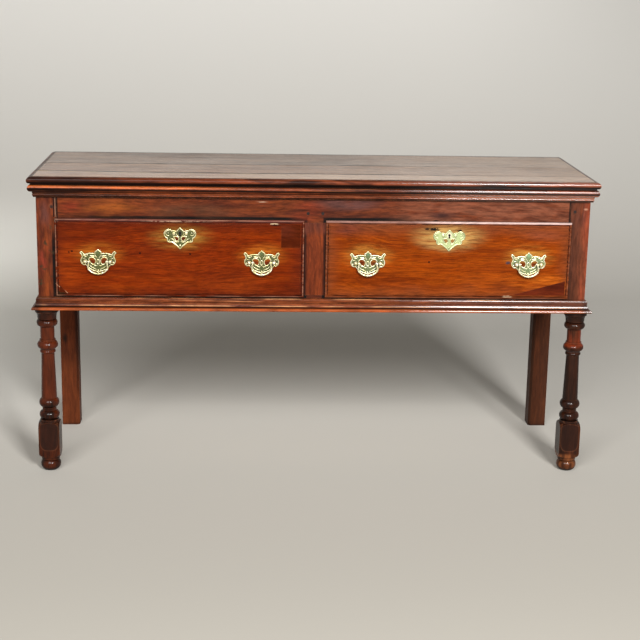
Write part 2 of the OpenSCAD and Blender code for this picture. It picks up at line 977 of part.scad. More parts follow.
plate_half = [[0, 31], [4.5, 27], [9.5, 22.8], [7.6, 19.6], [28.5, 19.8], [33, 17.2],
    [36.5, 20], [39.5, 24], [43.5, 25.4], [47, 21.5], [44.6, 18.4], [42.6, 14.5], [41.2, 10],
    [44, 5.5], [45, 0.5], [43.6, -5], [40, -9.6], [36, -11.5], [32.5, -10], [28.5, -15],
    [21.5, -21.5], [12, -26.5], [4, -29], [0, -31.5]];
piercing = [[9.5, 5.5], [22.5, 5.5], [19.5, -2], [14.5, -8], [10.5, -8]];

escutcheon_half = [[0, 17.8], [5.5, 12.5], [10.4, 7.2], [13.5, 9.2], [17.5, 10], [20.5, 9.2],
    [24.5, 12.6], [30.5, 13.6], [37, 10.2], [41, 4.5], [41.5, -1], [39, -6.8], [33, -11.8],
    [33.5, -16], [31.5, -20.4], [27, -21.6], [21, -21.8], [14.5, -26.5], [7.5, -32], [0, -39.5]];
small_piercing = [[6, -9.5], [13.6, -9.5], [11.2, -13.5], [7.8, -17], [6, -15.5]];

module brass_sheet(half, holes, z, front) {
    difference() {
        along_y(front, face_y)
            translate([0, z])
                polygon(concat(half, mirrored(half)));
        for (s = [-1, 1])
            on_side(s)
                along_y(front - clear, face_y + clear)
                    translate([0, z])
                        polygon(holes);
    }
}

pin_d = 1.6;
pin_head_d = 2.8;
pin_head_h = 0.8;
escutcheon_pins = [[-36, 3], [36, 3], [0, -33.5]];

module pin_holes(spots, d, z, y0, y1) {
    for (p = spots)
        bar_y(p[0], y0, y1, z + p[1], d);
}

module back_plate(s, h) {
    color(brass)
        in_opening(s)
            difference() {
                translate([h * handle_x, 0, 0])
                    brass_sheet(plate_half, piercing, handle_z, plate_y);
                post_holes(plate_y - clear, face_y + clear, shank_d + 2 * shank_fit);
            }
}

escutcheon_t = 1.5;

module escutcheon(s) {
    color(brass)
        in_opening(s)
            difference() {
                brass_sheet(escutcheon_half, small_piercing, keyhole_z, face_y - escutcheon_t);
                keyhole(face_y - escutcheon_t - clear, face_y + clear);
                pin_holes(escutcheon_pins, pin_d + 2 * peg_fit, keyhole_z,
                    face_y - escutcheon_t - clear, face_y + clear);
            }
}

// Pins with domed heads that hold the escutcheon
module plate_pins(s) {
    head = face_y - escutcheon_t;
    color(brass)
        in_opening(s) {
            pin_holes(escutcheon_pins, pin_d, keyhole_z, head - pin_head_h / 2, face_y);
            for (p = escutcheon_pins)
                translate([p[0], head, keyhole_z + p[1]])
                    rotate([90, 0, 0])
                        cylinder(d1 = pin_head_d, d2 = pin_d, h = pin_head_h);
        }
}

nut_t = 3;
nut_w = 9;
shank_back_y = front_back_y + nut_t + 2.5;
head_r = head_d / 2;
collar_t = 1.3;
neck_over = 1.5;
arm_room = 1;
bore_end = 1;
arm_x = post_x - head_r - bail_d / 2 - arm_room;
pin_reach = post_x - bore_end - 0.6;

// A post: shank through the front, collar against the plate, and a round head that the bail hangs in.
// The left-hand post of a pair is the right-hand one mirrored, so its bore faces the bail too.
module handle_post(x, hand) {
    translate([x, 0, 0])
        on_side(hand) {
            bar_y(0, plate_y, shank_back_y, handle_z, shank_d);
            bar_y(0, plate_y - collar_t, plate_y, handle_z, head_d - 2);
            difference() {
                union() {
                    bar_y(0, pivot_y, plate_y, handle_z, shank_d + neck_over);
                    translate([0, pivot_y, handle_z])
                        sphere(d = head_d);
                }
                bar_x(-head_r - clear, -bore_end, pivot_y, handle_z, bail_pin_d + 2 * pivot_fit);
            }
        }
}

module handle_posts(s) {
    color(brass)
        in_opening(s)
            for (h = [-handle_x, handle_x]) {
                handle_post(h + post_x, 1);
                handle_post(h - post_x, -1);
            }
}

module post_nuts(s) {
    color(brass)
        in_opening(s)
            difference() {
                for (h = [-handle_x, handle_x])
                    for (p = [-post_x, post_x])
                        block([h + p - nut_w / 2, front_back_y, handle_z - nut_w / 2],
                            [h + p + nut_w / 2, front_back_y + nut_t, handle_z + nut_w / 2]);
                post_holes(front_back_y - clear, front_back_y + nut_t + clear, shank_d + 2 * shank_fit);
            }
}

// Bail: a wide bow of round section, with a boss at the middle, a bead wherever it changes its
// bend, and a pin at each end. The arms run straight off the turns, so their lean is a tangent's.
bow_r = 30;
bow_angle = 50;
turn_r = 9;
bead_step = 0.25;
turn_bead = [0.9, 2.8];
arm_bead = [0.7, 2.4];
boss_bead = [1.7, 4.2];
side_bead = [1, 2.6];
side_bead_angle = 7.5;
eye_over = 0.6;
eye_l = 5;
bow_z = -bail_drop + bail_d / 2 + bow_r;
turn_x = (bow_r - turn_r) * sin(bow_angle);
turn_z = bow_z - (bow_r - turn_r) * cos(bow_angle);
arm_run = norm([arm_x - turn_x, turn_z]);
lean = atan2(-turn_z, arm_x - turn_x) - acos(turn_r / arm_run);
arm_low_x = turn_x + turn_r * cos(lean);
arm_low_z = turn_z + turn_r * sin(lean);

// Part of a ring of round section, lying in the plane of X and Z; angles from straight down
module ring_part(x, z, r, from, to) {
    reach = 3 * r;
    corners = [for (a = [from, (from + to) / 2, to]) [reach * sin(a), -reach * cos(a)]];
    translate([x, 0, z])
        intersection() {
            rotate([90, 0, 0])
                rotate_extrude()
                    translate([r, 0])
                        circle(d = bail_d);
            along_y(-bail_d, bail_d)
                polygon(concat([[0, 0]], corners));
        }
}

module rod(a, b) {
    reach = norm(b - a);
    tilt = atan2(b[0] - a[0], b[2] - a[2]);
    translate(a)
        rotate([0, tilt, 0])
            cylinder(d = bail_d, h = reach);
}

// A turned bead round the bail, its size given as what it adds to the diameter, and its length
module bail_bead(size, angle) {
    r = bail_d / 2 + bead_step;
    top = (bail_d + size[0]) / 2;
    h = size[1];
    rotate([0, 90 - angle, 0])
        rotate_extrude()
            polygon([[0, -h / 2], [r, -h / 2], [top, -h / 6], [top, h / 6], [r, h / 2], [0, h / 2]]);
}

module bail_half() {
    ring_part(turn_x, turn_z, turn_r, bow_angle, 90 + lean);
    bow_bead(turn_bead, bow_angle);
    rod([arm_low_x, 0, arm_low_z], [arm_x, 0, 0]);
    translate([arm_low_x, 0, arm_low_z])
        bail_bead(arm_bead, 90 + lean);
    bar_x(arm_x - eye_l / 2, arm_x + eye_l / 2, 0, 0, bail_d + eye_over);
    bar_x(arm_x, pin_reach, 0, 0, bail_pin_d);
}

// A bead set on the bow, square to it
module bow_bead(size, angle) {
    translate([bow_r * sin(angle), 0, bow_z - bow_r * cos(angle)])
        bail_bead(size, angle);
}

// The side beads stand clear of the middle one, with a strip of the bow showing between
module bail_boss() {
    for (angle = [-side_bead_angle, side_bead_angle])
        bow_bead(side_bead, angle);
    bow_bead(boss_bead, 0);
}

module bail(s, h) {
    color(brass)
        in_opening(s)
            translate([h * handle_x, pivot_y, handle_z]) {
                ring_part(0, bow_z, bow_r, -bow_angle, bow_angle);
                bail_half();
                mirror([1, 0, 0])
                    bail_half();
                bail_boss();
            }
}

top_front_board();
top_middle_board();
top_back_board();
cornice_front();
cornice_side(-1);  // cornice_left
cornice_side(1);  // cornice_right
waist_front();
waist_side(-1);  // waist_left
waist_side(1);  // waist_right
front_leg(-1);  // front_leg_left
front_leg(1);  // front_leg_right
front_post(-1);  // front_post_left
front_post(1);  // front_post_right
rear_leg(-1);  // rear_leg_left
rear_leg(1);  // rear_leg_right
top_rail();
bottom_rail();
muntin();
side_board(-1);  // side_board_left
side_board(1);  // side_board_right
back_board();
runner_side(-1);  // runner_left
runner_centre();
runner_side(1);  // runner_right
kicker_side(-1);  // kicker_left
kicker_centre();
kicker_side(1);  // kicker_right
frame_pegs();
drawer_front_left();
drawer_side(-1, -1);  // drawer_side_left_a
drawer_side(-1, 1);  // drawer_side_left_b
drawer_back(-1);  // drawer_back_left
drawer_bottom(-1);  // drawer_bottom_left
patches_left();
drawer_front_right();
drawer_side(1, -1);  // drawer_side_right_a
drawer_side(1, 1);  // drawer_side_right_b
drawer_back(1);  // drawer_back_right
drawer_bottom(1);  // drawer_bottom_right
patch_right();
lock_case(-1);  // lock_case_left
lock_bolt(-1);  // lock_bolt_left
lock_case(1);  // lock_case_right
lock_bolt(1);  // lock_bolt_right
escutcheon(-1);  // escutcheon_left
escutcheon(1);  // escutcheon_right
plate_pins(-1);  // plate_pins_left
plate_pins(1);  // plate_pins_right
back_plate(-1, -1);  // back_plate_left_a
back_plate(-1, 1);  // back_plate_left_b
back_plate(1, -1);  // back_plate_right_a
back_plate(1, 1);  // back_plate_right_b
handle_posts(-1);  // handle_posts_left
handle_posts(1);  // handle_posts_right
post_nuts(-1);  // post_nuts_left
post_nuts(1);  // post_nuts_right
bail(-1, -1);  // bail_left_a
bail(-1, 1);  // bail_left_b
bail(1, -1);  // bail_right_a
bail(1, 1);  // bail_right_b
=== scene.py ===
# %% [markdown]
# # An oak dresser base
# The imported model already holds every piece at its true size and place, so this lesson is about
# looks: old oak that has been waxed for centuries, and thin brass with a worn, engraved face.
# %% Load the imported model
import math
import bpy
from mathutils import Matrix, Vector


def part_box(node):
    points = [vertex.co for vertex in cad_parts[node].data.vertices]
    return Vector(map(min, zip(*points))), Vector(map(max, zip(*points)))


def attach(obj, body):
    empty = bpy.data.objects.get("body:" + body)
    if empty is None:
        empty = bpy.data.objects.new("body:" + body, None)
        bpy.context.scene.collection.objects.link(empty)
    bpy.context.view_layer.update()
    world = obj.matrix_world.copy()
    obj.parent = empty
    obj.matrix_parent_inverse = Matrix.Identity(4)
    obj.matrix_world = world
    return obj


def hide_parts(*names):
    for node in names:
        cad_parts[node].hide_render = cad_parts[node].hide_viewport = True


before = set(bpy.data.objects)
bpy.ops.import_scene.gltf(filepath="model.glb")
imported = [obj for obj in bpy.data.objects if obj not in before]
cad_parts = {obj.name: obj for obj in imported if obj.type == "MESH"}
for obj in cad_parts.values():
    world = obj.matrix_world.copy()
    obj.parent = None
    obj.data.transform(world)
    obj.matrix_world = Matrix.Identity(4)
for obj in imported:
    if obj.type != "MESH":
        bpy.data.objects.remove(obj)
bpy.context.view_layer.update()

# %% [markdown]
# ## The camera
# The camera was fitted to twelve points that could be read off the photograph. It stands a little
# left of the middle at a person's chest height, looks down by 14 degrees and is turned by a few
# degrees. Its axes are built as three vectors, because that keeps every angle readable.
# %% Camera
def add(name, data):
    """A new object in the scene."""
    made = bpy.data.objects.new(name, data)
    bpy.context.scene.collection.objects.link(made)
    return made


yaw, pitch, roll = (math.radians(a) for a in (2.931, 14.232, 1.055))
camera_place = (-0.171, -3.8793, 1.3519)
lens_px, photo_px = 1443.6, 640
forward = Vector((math.sin(yaw) * math.cos(pitch), math.cos(yaw) * math.cos(pitch), -math.sin(pitch)))
level = Vector((math.cos(yaw), -math.sin(yaw), 0))
above = level.cross(forward)
right = level * math.cos(roll) + above * math.sin(roll)
up = above * math.cos(roll) - level * math.sin(roll)
camera = add("camera", bpy.data.cameras.new("camera"))
camera.data.sensor_width = 36
camera.data.lens = camera.data.sensor_width * lens_px / photo_px
turn = Matrix((right, up, -forward)).transposed().to_4x4()
camera.matrix_world = Matrix.Translation(camera_place) @ turn
bpy.context.scene.camera = camera
print("camera", camera.location, "lens", camera.data.lens)


# %% [markdown]
# ## A bench for wiring materials
# A finish is wired from many small nodes. A helper class keeps each wire to one short line: it adds
# a node, feeds its sockets with values or with other nodes' outputs, and hands back the output.
# Colours are written as a screen shows them, and turned into the linear values that nodes use.
# %% The wiring bench
def shade(r, g, b):
    """A colour given in 0 to 255 as a screen shows it, turned into the linear values nodes use."""
    return tuple((v / 255 / 12.92) if v <= 10 else ((v / 255 + 0.055) / 1.055) ** 2.4 for v in (r, g, b))


class Finish:
    """A material, and the bench on which its nodes are wired."""

    def __init__(self, name):
        self.material = bpy.data.materials.new(name)
        self.material.use_nodes = True
        self.tree = self.material.node_tree
        self.shader = self.tree.nodes["Principled BSDF"]
        self.place = self.node("ShaderNodeTexCoord").outputs["Object"]
        self.smear = self.place
        self.xyz = self.node("ShaderNodeSeparateXYZ", {"Vector": self.place}).outputs
        self.x, self.y, self.z = self.xyz

    def node(self, kind, inputs=None, **settings):
        made = self.tree.nodes.new(kind)
        for name, value in settings.items():
            setattr(made, name, value)
        for name, value in (inputs or {}).items():
            self.feed(made.inputs[name], value)
        return made

    def feed(self, socket, value):
        if isinstance(value, bpy.types.NodeSocket):
            self.tree.links.new(value, socket)
        elif socket.type == "RGBA":
            socket.default_value = (*shade(*value), 1)
        else:
            socket.default_value = value

    def math(self, operation, a, b=0):
        return self.node("ShaderNodeMath", {0: a, 1: b}, operation=operation).outputs[0]

    def put(self, socket, value):
        self.feed(self.shader.inputs[socket], value)

    def plus(self, a, b):
        return self.math("ADD", a, b)

    def minus(self, a, b):
        return self.math("SUBTRACT", a, b)

    def most(self, a, b):
        return self.math("MAXIMUM", a, b)

    def gap(self, a, b):
        return self.math("ABSOLUTE", self.minus(a, b))

    def times(self, value, *others):
        for other in others:
            value = self.math("MULTIPLY", value, other)
        return value

    def vector(self, operation, a, b):
        return self.node("ShaderNodeVectorMath", {0: a, 1: b}, operation=operation).outputs[0]

    def mix(self, amount, a, b, blend="MIX"):
        made = self.node("ShaderNodeMix", {0: amount, 6: a, 7: b}, data_type="RGBA", blend_type=blend)
        return made.outputs[2]

    def ramp(self, value, low, high, to_low=0, to_high=1):
        names = {"Value": value, "From Min": low, "From Max": high, "To Min": to_low, "To Max": to_high}
        return self.node("ShaderNodeMapRange", names, interpolation_type="SMOOTHSTEP").outputs[0]

    def noise(self, vector, scale, detail=3, rough=0.5, bend=0):
        names = {"Vector": vector, "Scale": scale, "Detail": detail, "Roughness": rough, "Distortion": bend}
        return self.node("ShaderNodeTexNoise", names).outputs[0]

    def streaks(self, place, along, across, detail=3, rough=0.5, bend=0):
        """Noise drawn out along the first axis; along and across are its two frequencies."""
        place = self.vector("MULTIPLY", place, (along, across, across))
        return self.noise(place, 1, detail, rough, bend)

    def near(self, centre, size):
        """1 at a place on the object, down to 0 at the edge of an oval round it."""
        gap = self.vector("SUBTRACT", self.place, centre)
        gap = self.vector("DIVIDE", gap, size)
        far = self.node("ShaderNodeVectorMath", {0: gap}, operation="LENGTH").outputs["Value"]
        return self.ramp(far, 1, 0)

    def span(self, axis, low, high, soft):
        """1 between two values along an axis, down to 0 over a soft edge outside them."""
        rise = self.ramp(self.xyz[axis], low - soft, low)
        return self.times(rise, self.ramp(self.xyz[axis], high + soft, high))

    def inside(self, middle, half):
        """How far a place lies outside an upright rectangle on the front; below 0 inside it."""
        away = [self.minus(self.gap(self.xyz[axis], m), h)
                for axis, m, h in zip("XZ", middle, half)]
        return self.most(*away)

    def open_air(self, distance):
        """1 on open surfaces, lower in corners, grooves and seams."""
        return self.node("ShaderNodeAmbientOcclusion", {"Distance": distance}, samples=6).outputs["AO"]

    def bump(self, strength, distance, height, **normal):
        inputs = {"Strength": strength, "Distance": distance, "Height": height, **normal}
        return self.node("ShaderNodeBump", inputs).outputs[0]

    def softened(self, radius):
        """The surface's direction, as if each edge were rounded by a radius."""
        return self.node("ShaderNodeBevel", {"Radius": radius}, samples=4).outputs[0]

    def edge(self, radius):
        """1 along sharp edges, 0 on flats."""
        soft = self.softened(radius)
        flat = self.node("ShaderNodeNewGeometry").outputs["True Normal"]
        turn = self.node("ShaderNodeVectorMath", {0: soft, 1: flat}, operation="DOT_PRODUCT").outputs["Value"]
        return self.ramp(turn, 0.995, 0.86)

    def paint(self, amount, colour, *torn):
        """Lays a colour over what the finish has so far; with torn, ragged along the grain."""
        amount = self.ragged(amount, *torn) if torn else amount
        self.colour = self.mix(amount, self.colour, colour)

    def ragged(self, amount, scale=60, low=0.3, high=0.6):
        """The same amount, broken up by a noise that is drawn out along the grain."""
        return self.times(amount, self.ramp(self.noise(self.smear, scale, 3), low, high))

    def spotty(self, amount, scale=140, low=0.35, high=0.5):
        """The same amount, broken into small spots that follow no grain."""
        return self.times(amount, self.ramp(self.noise(self.place, scale, 2), low, high))


print("bench ready")


# %% [markdown]
# ## Waxed oak
# Old oak shows several things at once: broad soft tones along the board, narrow bands, short fine
# streaks and dark pores. Each is a noise that is stretched along the board, so it has no repeat and
# runs through each piece as it was sawn. On top of them come pale wear on the arrises, which age
# adds, found by a bevel that only the shader sees, and dirt and painted shade wherever a place sees little
# air.
# %% Grain
def grain_place(f, along, shift):
    """The place on the board, turned so that the first axis runs with the grain."""
    order = {"x": (0, 1, 2), "y": (1, 0, 2), "z": (2, 0, 1)}[along]
    turned = f.node("ShaderNodeCombineXYZ", {i: f.xyz[axis] for i, axis in enumerate(order)})
    return f.vector("ADD", turned.outputs[0], (shift, shift * 0.37, shift * 0.71))


def oak(name, deep, body, light, along="x", shift=0, rough=0.42, figure=1, fine=1, close=1):
    """Colours from the darkest streak to the lightest; along is the axis of the grain, close its fineness."""
    f = Finish(name)
    run = grain_place(f, along, shift)
    sway = f.times(f.minus(f.noise(run, 2.4, 2), 0.5), 0.06)
    run = f.vector("ADD", run, f.node("ShaderNodeCombineXYZ", {1: sway, 2: sway}).outputs[0])
    f.smear = f.vector("MULTIPLY", run, (0.28, 1.25 * close, 1.25 * close))
    tone = f.streaks(run, 1.6, 8, 3, 0.5, 0.4)
    band = f.streaks(run, 5, 46 * close, 4, 0.6, 0.3)
    streak = f.streaks(run, 34, 250 * close, 4, 0.65, 0.2)
    fibre = f.streaks(run, 40, 900, 2, 0.6)
    strip = f.streaks(run, 18, 125 * close, 3, 0.6, 0.2)
    pores = f.ramp(f.streaks(run, 60, 1300, 2), 0.6, 0.68)
    f.colour = f.mix(f.ramp(tone, 0.36, 0.62), deep, body)
    f.paint(f.ramp(band, 0.4, 0.68, 0, 0.65 * figure), light)
    f.paint(f.ramp(band, 0.46, 0.3, 0, 0.5 * figure), deep)
    f.paint(f.ramp(streak, 0.52, 0.34, 0, 0.26 * fine), deep)
    f.paint(f.ramp(streak, 0.52, 0.7, 0, 0.26 * fine), light)
    f.lines = f.plus(f.ramp(streak, 0.36, 0.64, -0.16 * fine, 0.16 * fine),
                     f.ramp(fibre, 0.3, 0.7, -0.06, 0.06))
    f.lines = f.plus(f.lines, f.ramp(strip, 0.38, 0.62, -0.18 * fine, 0.18 * fine))
    f.band, f.pores = band, pores
    f.air = f.open_air(0.018)
    f.sharp = f.times(f.edge(0.0018), f.ramp(f.air, 0.45, 0.85))
    f.rough = f.ramp(f.noise(f.place, 7, 4, 0.6), 0.3, 0.7, rough - 0.07, rough + 0.1)
    waves = f.streaks(run, 3, 14, 2)
    hollow = f.bump(1, 0.0012, waves, Normal=f.softened(0.0012))
    relief = f.times(f.plus(fibre, streak), 0.5)
    relief = f.minus(relief, f.times(pores, 0.6))
    f.normal = f.bump(0.3, 0.0004, relief, Normal=hollow)
    return f


# %% [markdown]
# The last step joins a finish to its shader. Wax is a thin clear coat over the colour: a turned or
# moulded piece that hands have polished gets more of it than a flat front.
# %% Wear, dirt, painted shade and wax
def seal(f, dirt_and_shade=(20, 12, 9), worn=None, worn_amount=0.35, coat=0, coat_rough=0.16, gloss=0.22):
    """Adds worn edges, and dirt and painted shade in the corners, and joins the finish to its shader."""
    if worn:
        patchy = f.ramp(f.noise(f.place, 60, 3), 0.35, 0.7, 0.15, 1)
        f.paint(f.times(f.sharp, patchy, worn_amount), worn)
    lines = f.plus(f.lines, 1)
    lines = f.node("ShaderNodeCombineXYZ", {i: lines for i in range(3)}).outputs[0]
    f.colour = f.vector("MULTIPLY", f.colour, lines)
    f.paint(f.times(f.pores, 0.3), (24, 12, 8))
    # dirt and painted shade: where a place sees little air its colour is darkened, as the shade of corners
    # and seams
    grime_and_shade = f.ramp(f.air, 0.8, 0.35, 0, 0.94)
    f.paint(grime_and_shade, dirt_and_shade)
    f.put("Base Color", f.colour)
    f.put("Roughness", f.plus(f.rough, f.times(grime_and_shade, 0.25)))
    f.put("Normal", f.normal)
    f.put("Specular IOR Level", gloss)
    if coat is not None:
        f.put("Coat Weight", coat)
    f.put("Coat Roughness", coat_rough)
    return f.material


def named(*starts):
    """The names of all CAD nodes that start in one of these ways."""
    return [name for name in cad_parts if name.startswith(starts)]


def dress(material, *names):
    """Puts a finish on CAD nodes through their own material slots."""
    for name in names:
        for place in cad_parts[name].material_slots:
            place.material = material
    print(material.name, "on", len(names), "pieces")


# %% [markdown]
# ## The top
# The top's boards lie nearly edge on to the camera, so most of what shows is the pale room that the
# wax mirrors. The boards differ in tone, and each is painted paler towards the right, as painted
# light. Their joints opened and filled with dark wax, but not evenly, so each joint is a line whose
# strength changes along it. A quirk, which is a fine groove, runs inside the moulded nose and is
# painted as a dark line, its shade. The nose itself is as dark and red as the mouldings below it, and
# its underside is painted nearly black, as shade.
# %% Top boards
top_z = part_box("top_front_board")[1].z
top_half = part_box("top_front_board")[1].x
top_front, top_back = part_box("top_front_board")[0].y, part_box("top_back_board")[1].y
joint_front, joint_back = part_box("top_middle_board")[0].y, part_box("top_middle_board")[1].y
nose_w = 0.011
print("top", top_z, "joints at", joint_front, joint_back)


def line(f, value, at, half):
    """1 on a thin line where a value passes a place, 0 beyond its half width."""
    return f.ramp(f.gap(value, at), half, half * 0.35)


def top_board(place, shift, deep, body, light):
    """One board of the top; place says which: front, middle or back."""
    f = oak("oak_top_" + place, deep, body, light, shift=shift, rough=0.4)
    x, y = f.x, f.y
    from_middle = f.math("ABSOLUTE", x)
    pale = f.ramp(f.noise(f.vector("MULTIPLY", f.place, (1, 3, 1)), 4, 3), 0.4, 0.66, 0, 0.3)
    f.paint(pale, (150, 116, 88))
    # painted light: each board is painted paler towards the right, where the lamp on the right lights it
    reach, right_light_amount = (-0.4, 0.5) if place == "front" else (0, 0.34)
    f.paint(f.ramp(x, reach, reach + 0.45, 0, right_light_amount), (188, 155, 126))
    rim = f.most(f.ramp(from_middle, top_half - nose_w, top_half - nose_w + 0.002),
                 f.ramp(y, top_front + nose_w, top_front + nose_w - 0.002))
    f.paint(rim, f.mix(f.ramp(f.band, 0.38, 0.66), (40, 16, 8), (92, 40, 19)))
    red = f.times(rim, f.ramp(x, -0.35, -0.1, 0, 0.6), f.ramp(f.band, 0.34, 0.56))
    f.paint(red, (134, 66, 38))
    seams = 0
    for at, bend, faint, dusty in ((joint_front, -0.018, 0.6, 1), (joint_back, 0.004, 0.4, 0.3)):
        sway = f.plus(y, f.times(f.noise(f.place, 9, 2), 0.004))
        sway = f.plus(sway, f.ramp(x, -0.44, -0.72, 0, bend))
        strength = f.ramp(f.streaks(f.place, 9, 0), 0.38, 0.58, faint, 1)
        strength = f.times(strength, f.ramp(x, 0.25, 0.45, 1, 0.45))
        seam = f.times(line(f, sway, at + 0.002, 0.0085), strength)
        ochre = f.times(line(f, sway, at - 0.011, 0.008), f.ramp(x, 0.1, -0.2, 0.15, 0.7))
        ochre = f.spotty(f.times(ochre, dusty), 26, 0.36, 0.6)
        f.paint(ochre, (164, 134, 88))
        f.paint(seam, (24, 16, 9))
        seams = f.most(seams, f.most(seam, f.times(ochre, 0.6)))
    # painted shade: a dark line is painted along the quirk at the ends and the front, for the shade in its
    # groove
    ends = line(f, from_middle, top_half - nose_w - 0.002, 0.003)
    front = line(f, y, top_front + nose_w, 0.003)
    flat = f.ramp(f.z, top_z - 0.002, top_z - 0.001)
    quirk = f.times(f.most(ends, f.times(front, 0.7)), flat)
    f.paint(quirk, (36, 22, 16))
    back_edge = f.ramp(y, top_back - 0.014, top_back - 0.006, 0, 0.85)
    f.paint(back_edge, (44, 46, 44))
    seams = f.most(f.most(seams, back_edge), quirk)
    # painted shade: the underside of the nose is painted nearly black
    f.paint(f.ramp(f.z, 0.7845, 0.7815, 0, 0.95), (16, 9, 7))
    for spot, size in (((0.445, -0.1425), 0.0035), ((0.4518, -0.1421), 0.003),
                       ((0.4427, -0.1825), 0.003), ((-0.45, -0.139), 0.004), ((0.199, -0.144), 0.004)):
        f.paint(f.near((*spot, top_z), (size, size, 0.02)), (16, 12, 10))
    wax = f.times(f.ramp(y, 0.22, -0.16, 0.6, 1), f.ramp(f.band, 0.3, 0.62, 0.7, 1))
    wax = f.times(wax, f.minus(1, f.times(seams, 0.75)))
    wax = f.times(wax, f.ramp(x, -0.15, 0.5, 0.78, 0.94), 0.84 if place == "middle" else 1)
    nose_wax = f.times(f.ramp(x, 0.12, 0.4, 0.05, 0.86), f.ramp(f.z, 0.782, 0.787, 0.12, 1))
    wax = f.plus(f.times(wax, f.minus(1, rim)), f.times(rim, nose_wax))
    f.put("Coat Weight", wax)
    f.put("Coat IOR", 2)
    return seal(f, worn=(196, 150, 116), worn_amount=0.5, coat=None, coat_rough=0.14, gloss=0.05)


for place, shift, *woods in (("front", 3.1, (108, 67, 41), (144, 97, 63), (172, 125, 86)),
                             ("middle", 7.7, (84, 50, 30), (119, 76, 46), (147, 103, 65)),
                             ("back", 5.2, (74, 49, 34), (104, 73, 51), (132, 97, 69))):
    dress(top_board(place, shift, *woods), "top_" + place + "_board")

# %% [markdown]
# ## Mouldings
# A moulding is planed from one length, so its grain runs along it, round the corners at each mitre.
# Its rounds are polished, and its hollows and the underside of its round are painted black, as
# shade. A strong coat gives the rounds their long white lights, where they turn towards the lamp on the
# right.
# %% Mouldings
worn_oak = (178, 104, 62)
cornice_wood = dict(deep=(44, 17, 8), body=(92, 40, 19), light=(140, 64, 26))
waist_wood = dict(deep=(58, 24, 12), body=(86, 38, 18), light=(116, 57, 27))
cornice_shaded_hollows = [(0.7745, 0.779), (0.7607, 0.764), (0.74, 0.745)]
waist_shaded_hollows = [(0.4555, 0.457)]
torus, cornice_band, waist_nose = (0.7675, 0.7725), (0.74, 0.76), (0.447, 0.4555)


def paint_cornice(f):
    """Painted light and shade: the round is painted a lit red on the left; the band under it is painted
    darker there and paler at the right.
    """
    lit = f.times(f.span("Z", *torus, 0.0015), f.ramp(f.x, -0.1, -0.4, 0, 0.95))
    f.paint(lit, (172, 85, 36), 60, 0.05, 0.34)
    band = f.span("Z", *cornice_band, 0.002)
    # painted shade on the band at the left, painted light on it at the right
    f.paint(f.times(band, f.ramp(f.x, -0.25, -0.6, 0, 0.35)), (40, 18, 10))
    f.paint(f.times(band, f.ramp(f.x, 0.15, 0.4, 0, 0.5)), (170, 88, 46))


def paint_waist(f):
    """The lower moulding: red nose, pale lines of rubbed wear and painted highlight, and ends painted dark as
    shade.
    """
    # painted shade: the left end is painted darker
    shaded_left_end = f.times(f.ramp(f.x, -0.6, -0.7, 0, 0.55), f.ramp(f.z, 0.45, 0.456))
    f.paint(shaded_left_end, (44, 22, 14))
    f.paint(f.span("Z", *waist_nose, 0.001), (142, 68, 30), 40, 0.2, 0.5)
    # the pale lines along two arrises are rubbed wear and painted highlight
    for z in (0.4786, 0.46):
        rubbed = f.times(line(f, f.z, z, 0.0014), 0.75)
        f.paint(rubbed, (190, 136, 90), 34, 0.44, 0.62)
    # painted shade: both return ends are painted dark
    f.paint(f.ramp(f.math("ABSOLUTE", f.x), 0.7, 0.716, 0, 0.75), (34, 16, 11))


def moulding(name, along, shift):
    cornice = name.startswith("cornice")
    f = oak("oak_" + name, along=along, shift=shift, rough=0.36, **(cornice_wood if cornice else waist_wood))
    hair = f.streaks(grain_place(f, along, shift), 5, 500, 2)
    f.paint(f.ramp(hair, 0.6, 0.68, 0, 0.5), (26, 12, 8))
    f.paint(f.ramp(hair, 0.4, 0.33, 0, 0.6), (184, 118, 76), 14, 0.45, 0.65)
    chips = f.ramp(f.noise(f.place, 210, 1), 0.775, 0.8, 0, 0.9)
    f.paint(f.times(chips, f.sharp), (226, 206, 178))
    if cornice:
        paint_cornice(f)
        wax = f.ramp(f.x, 0.16, 0.42, 0.05, 0.74)
    else:
        paint_waist(f)
        wax = f.times(f.ramp(f.x, 0.16, 0.42, 0.05, 0.66), f.ramp(f.z, 0.4555, 0.458, 1, 0.58))
    # painted shade: each hollow, and the underside of the round, is painted nearly black
    for low, high in cornice_shaded_hollows if cornice else waist_shaded_hollows:
        hollow = f.span("Z", low, high, 0.0018)
        f.paint(f.times(hollow, 0.94), (15, 8, 6))
        wax = f.times(wax, f.ramp(hollow, 0, 1, 1, 0.35))
    f.put("Coat Weight", wax)
    f.put("Coat IOR", 2.2 if cornice else 1.9)
    dress(seal(f, worn=worn_oak, worn_amount=0.5, coat=None, coat_rough=0.18, gloss=0.04), name)


for name, along, shift in (("cornice_front", "x", 2.3), ("cornice_left", "y", 1.1),
                           ("cornice_right", "y", 3.1), ("waist_front", "x", 6.3),
                           ("waist_left", "y", 5.1), ("waist_right", "y", 7.1)):
    moulding(name, along, shift)

# %% [markdown]
# ## Rails, posts and muntin
# The frame is redder and darker than the drawers. Beside the drawers' lips it is painted nearly
# black, as their shadow, and painted darker further out, as shade; at the joints it is nearly black,
# where wax and dust have gathered. Grey and purple bloom lies on the rail over the right drawer, and
# the pegs' ends show as dark dots with a pale ring.
# %% Frame
drawer_lips = [((side * 0.3475, 0.5845), (0.32, 0.102)) for side in (-1, 1)]
stile_x, frame_y = 0.661, -0.217
black_wax = (14, 8, 7)
rail_wood = dict(deep=(50, 19, 9), body=(80, 32, 14), light=(108, 49, 20))
post_wood = dict(deep=(54, 20, 11), body=(84, 35, 16), light=(112, 51, 23))


